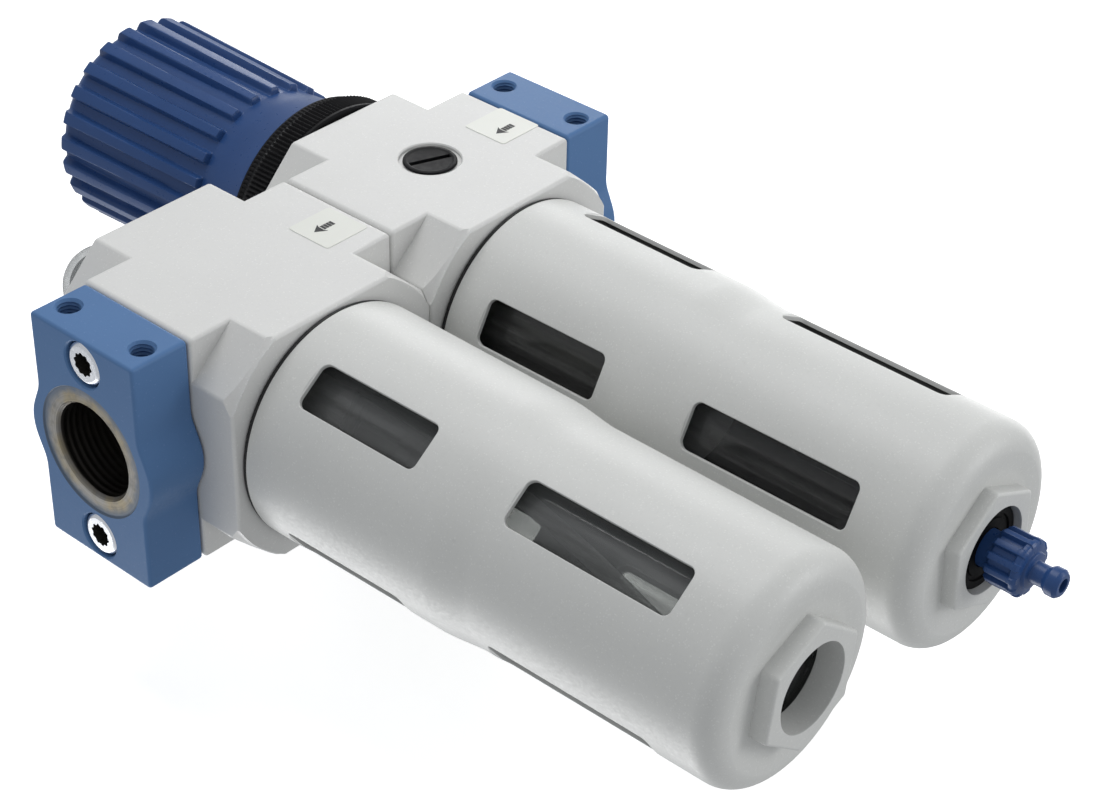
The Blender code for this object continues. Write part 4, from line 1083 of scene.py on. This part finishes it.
def drip_nozzle():
    """White drip nozzle under the dome."""
    low, high = local("drip_nozzle")
    nozzle = [(1.1, low.z), (8.6, low.z), (8.6, low.z + 2.5, 0.4), (3.2, low.z + 3.5, 0.6),
              (2.6, high.z, 0.5), (1.1, high.z)]
    turned("drip_nozzle", nozzle, LUBRICATOR, WHITE, segments=48)


def drip_screw():
    """Slotted brass screw that sets the drip rate."""
    low, high = local("drip_screw")
    profile = [(0, low.z), (2.6, low.z), (2.6, high.z - 3.2), (3.6, high.z - 3.2, 0.2), (3.6, high.z, 0.6),
               (0, high.z)]
    work = cut(lathe(profile, 48), [prism(oblong(4, 0.5), high.z - 1.2, high.z + 1)], BRASS)
    finished("drip_screw", moved(work, LUBRICATOR - TOP_CORNER, -TOP_CORNER), BRASS, "drip_adjuster")


def oil_fill_plug():
    """Knurled black plug with a hexagon socket."""
    low, high = local("oil_fill_plug")
    profile = [(0, low.z), (4.9, low.z), (4.9, high.z - 3.4), (5.9, high.z - 3.4, 0.2), (5.9, high.z, 0.7),
               (0, high.z)]
    head = lathe(profile, 192, radius_at=toothed(5.8, 0.2, 24))
    work = cut(head, [prism(regular(6, 3.2), high.z - 2.6, high.z + 1, 0.2)], BLACK)
    finished("oil_fill_plug", moved(work, LUBRICATOR + TOP_CORNER, -TOP_CORNER), BLACK, "plug")


# ---- gauge ----
def front(shape):
    """Point a gauge piece, built along +Z from the body's face, out of the front."""
    return placed(shape, x=REGULATOR, y=-BACK, axis="-Y")


def gauge_case():
    """Case with a rolled bezel, and the lens in it."""
    radius = (GAUGE_HIGH.x - GAUGE_LOW.x) / 2
    base, face = -BACK - GAUGE_HIGH.y, -BACK - GAUGE_LOW.y
    profile = [(3.9, base), (radius - 1.5, base, 1.6), (radius - 1.2, face - 5.0, 0.4),
               (radius, face - 4.4, 0.4), (radius, face - 0.2, 0.8), (radius - 2.6, face - 0.2, 0.6),
               (radius - 2.9, face - 1.6, 0.2), (radius - 1.6, face - 1.6), (radius - 2.2, base + 1.6),
               (3.9, base + 1.6)]
    finished("gauge_case", front(lathe(profile)), BLACK)
    lens = [(0, face - 3.4), (radius - 1.9, face - 3.4), (radius - 1.9, face - 2.0, 0.3), (0, face - 1.8)]
    finished("gauge_lens", front(lathe(lens)), LENS)


def gauge_socket():
    """Hexagon against the body, with a stem into the port and a neck into the case."""
    nut = prism(regular(6, 8.1), 0.3, 7.0, 0.8, 0.4)
    work = combine(nut, [rod(6.0, -9.0, 1.0, 48), rod(3.4, 6.5, 13.5, 48)], "UNION", BRASS)
    finished("gauge_socket", front(taken(work)), BRASS)


def flat_bar(shape, start, end, half_start, half_end, low, high):
    """A flat tapered bar between two points of the XY plane, added to a bmesh."""
    along = (Vector(end) - Vector(start)).normalized()
    across = Vector((-along.y, along.x))
    outline = [Vector(start) + across * half_start, Vector(start) - across * half_start,
               Vector(end) - across * half_end, Vector(end) + across * half_end]
    add_slab(shape, outline, low, high)


DIAL_MAX = 16
SEGMENTS = {0: "abcdef", 1: "bc", 2: "abged", 4: "fgbc", 6: "afgedc", 8: "abcdefg"}
STROKES = {"a": ((0, 2), (1, 2)), "b": ((1, 2), (1, 1)), "c": ((1, 1), (1, 0)), "d": ((1, 0), (0, 0)),
           "e": ((0, 0), (0, 1)), "f": ((0, 1), (0, 2)), "g": ((0, 1), (1, 1))}


def gauge_dial():
    """White dial with a pressure scale from 0 to 16 in plain stroke numerals."""
    face = 21.8
    dial = lathe([(1.9, face - 0.8), (23.0, face - 0.8), (23.0, face, 0.2), (1.9, face)])
    finished("gauge_dial", front(dial), DIAL_WHITE)

    def direction(share):
        """From the dial's centre towards a place on the scale, 0 to 1."""
        angle = math.radians(225 - 270 * share)
        return Vector((math.cos(angle), math.sin(angle)))

    marks = bmesh.new()
    steps = 80
    for index in range(steps + 1):
        way = direction(index / steps)
        length = 3.4 if index % 10 == 0 else 2.4 if index % 5 == 0 else 1.5
        width = 0.28 if index % 10 == 0 else 0.16
        flat_bar(marks, way * (20.4 - length), way * 20.4, width, width, face - 0.02, face + 0.06)
    for value in range(0, DIAL_MAX + 1, 2):
        centre = direction(value / DIAL_MAX) * 13.9
        digits = [int(c) for c in str(value)]
        for place, digit in enumerate(digits):
            corner = centre + Vector((-0.8 + 2.5 * (place - (len(digits) - 1) / 2), -1.6))
            for stroke in SEGMENTS[digit]:
                begin, end = (corner + Vector((p[0] * 1.6, p[1] * 1.6)) for p in STROKES[stroke])
                along = (end - begin).normalized() * 0.2
                flat_bar(marks, begin - along, end + along, 0.22, 0.22, face - 0.02, face + 0.05)
    finished("gauge_scale", front(marks), INK)


def gauge_pointer():
    """Tapered needle on a capped hub."""
    hub = lathe([(0, 15.6), (1.4, 15.6), (1.4, 22.2), (2.6, 22.4, 0.3), (2.6, 24.4, 0.7), (0, 24.4)], 48)
    blade = bmesh.new()
    flat_bar(blade, (0, -7.0), (0, 17.5), 1.0, 0.3, 23.0, 23.7)
    placed(blade, turn=135)
    shape = taken(combine(hub, [blade], "UNION", INK))
    finished("gauge_pointer", front(shape), INK, "pointer")


# ---- the rest ----
def dress_cad_nodes():
    """Give every CAD node that is still shown the material of its slot."""
    by_slot = {"body": GREY, "blue": BLUE, "knob": KNOB_BLUE, "black": BLACK, "rubber": RUBBER,
               "clear": CLEAR, "zinc": ZINC, "brass": BRASS, "white": WHITE, "filter": SINTERED,
               "dial": DIAL_WHITE, "pointer": INK}
    for name, node in frame["nodes"].items():
        if node.hide_render:
            continue
        for place in node.material_slots:
            place.link = "OBJECT"
            place.material = by_slot[SLOTS[name]]


def studio():
    """View transform, the world's light and soft lamps."""
    scene = bpy.context.scene
    scene.view_settings.view_transform = "Standard"
    world = bpy.data.worlds.new("studio")
    world.use_nodes = True
    tree = world.node_tree
    around = tree.nodes["Background"]
    around.inputs["Color"].default_value = (0.95, 0.97, 1.0, 1.0)
    around.inputs["Strength"].default_value = 0.50
    backdrop = tree.nodes.new("ShaderNodeBackground")
    backdrop.inputs["Color"].default_value = (1.0, 1.0, 1.0, 1.0)
    rays = tree.nodes.new("ShaderNodeLightPath")
    mix = tree.nodes.new("ShaderNodeMixShader")
    tree.links.new(rays.outputs["Is Camera Ray"], mix.inputs[0])
    tree.links.new(around.outputs[0], mix.inputs[1])
    tree.links.new(backdrop.outputs[0], mix.inputs[2])
    tree.links.new(mix.outputs[0], tree.nodes["World Output"].inputs["Surface"])
    scene.world = world
    target = (cad_box[0] + cad_box[1]) / 2
    lamps = (
        ("key", (-0.15, 1.2, 0.35), 0.8, 6.3),
        ("rim", (-0.85, 0.45, 0.65), 0.5, 2.5),
        ("fill", (-0.7, 0.3, -1.0), 0.6, 4.2),
        ("front", (0.4, -1.3, 0.6), 1.0, 9.5),
        ("side", (-1.2, -0.3, 0.3), 0.9, 4.0),
    )
    for name, offset, size, power in lamps:
        lamp = bpy.data.lights.new(name, "AREA")
        lamp.size = size
        lamp.energy = power
        holder = linked(name, lamp)
        holder.location = target + Vector(offset)
        holder.rotation_euler = (-Vector(offset)).to_track_quat("-Z", "Y").to_euler()
        holder.visible_camera = False


def pale_floor(name, spread, place, facing):
    """One-sided pale sheet: it is see-through from behind, so it never hides the object."""
    shape = bmesh.new()
    bmesh.ops.create_grid(shape, x_segments=4, y_segments=4, size=spread)
    sheet = linked(name, to_mesh(name, shape))
    sheet.location = place
    sheet.rotation_euler = Vector(facing).to_track_quat("Z", "Y").to_euler()
    sheet.visible_shadow = False
    sheet.visible_diffuse = False
    sheet.visible_glossy = False
    finish = Finish(name, (0.93, 0.93, 0.93), 0.7)
    finish.patches(60, 3.0, 0.3, 0.7, 0.3, (0.90, 0.90, 0.90))
    finish.done(Emission_Color=(1.0, 1.0, 1.0, 1.0), Emission_Strength=0.55)
    behind = finish.node("ShaderNodeNewGeometry").outputs["Backfacing"]
    finish.mixed(behind, finish.shader, finish.node("ShaderNodeBsdfTransparent"))
    sheet.data.materials.append(finish.material)


def camera():
    """Looks up along the bowls from the wall side, rolled as the unit lies."""
    lens = bpy.data.cameras.new("camera")
    lens.lens = 84.04
    lens.sensor_width = 36.0
    lens.clip_start = 0.01
    seen = linked("camera", lens)
    place = Vector((380.8, 362.2, -403.6)) + SEAM
    forward = Vector((-0.6166, -0.5754, 0.5374)).normalized()
    up = Vector((-0.4185, 0.8177, 0.3954))
    right = forward.cross(up).normalized()
    up = right.cross(forward)
    turn = Matrix((right, up, -forward)).transposed().to_4x4()
    seen.matrix_world = Matrix.Translation(place * MM) @ turn
    bpy.context.scene.camera = seen


regulator_body()
lubricator_body()
rear_label("regulator_label", -58.5, -1.7, -60.5, -3.5)
rear_label("lubricator_label", 9.0, -5.7, 6.7, -4.8)
for plate_name, plate_side in (("inlet", -1), ("outlet", 1)):
    connecting_plate(plate_name + "_plate", plate_side)
    plate_screw(plate_name + "_screw_front", plate_side, -SCREW_Y)
    plate_screw(plate_name + "_screw_rear", plate_side, SCREW_Y)
gauge_port_plug()
bowl_guard("filter", REGULATOR, "filter_sleeve", FILTER_GUARD_INSIDE_SHADE)
bowl_guard("lubricator", LUBRICATOR, "lubricator_sleeve", LUBRICATOR_GUARD_INSIDE_SHADE)
clear_bowl("filter_bowl", REGULATOR, "filter_bowl_unit", 5.6, WATER_BOWL)
clear_bowl("lubricator_bowl", LUBRICATOR, "lubricator_bowl_unit", 0, OIL_BOWL)
siphon_tube()
guard_gasket("filter_guard_gasket", REGULATOR, "filter_bowl_unit")
guard_gasket("lubricator_guard_gasket", LUBRICATOR, "lubricator_bowl_unit")
coil_spring("main_spring", 1.7, 6)
coil_spring("valve_spring", 0.6, 4)
adjusting_knob()
lock_ring()
regulator_bonnet()
drain_knob()
drain_body()
sight_dome()
dome_ring()
drip_nozzle()
drip_screw()
oil_fill_plug()
gauge_case()
gauge_socket()
gauge_dial()
gauge_pointer()
dress_cad_nodes()
studio()
pale_floor("floor", 3.0, (0.075, cad_box[0].y - 0.01, -0.04), (0, 1, 0))
camera()
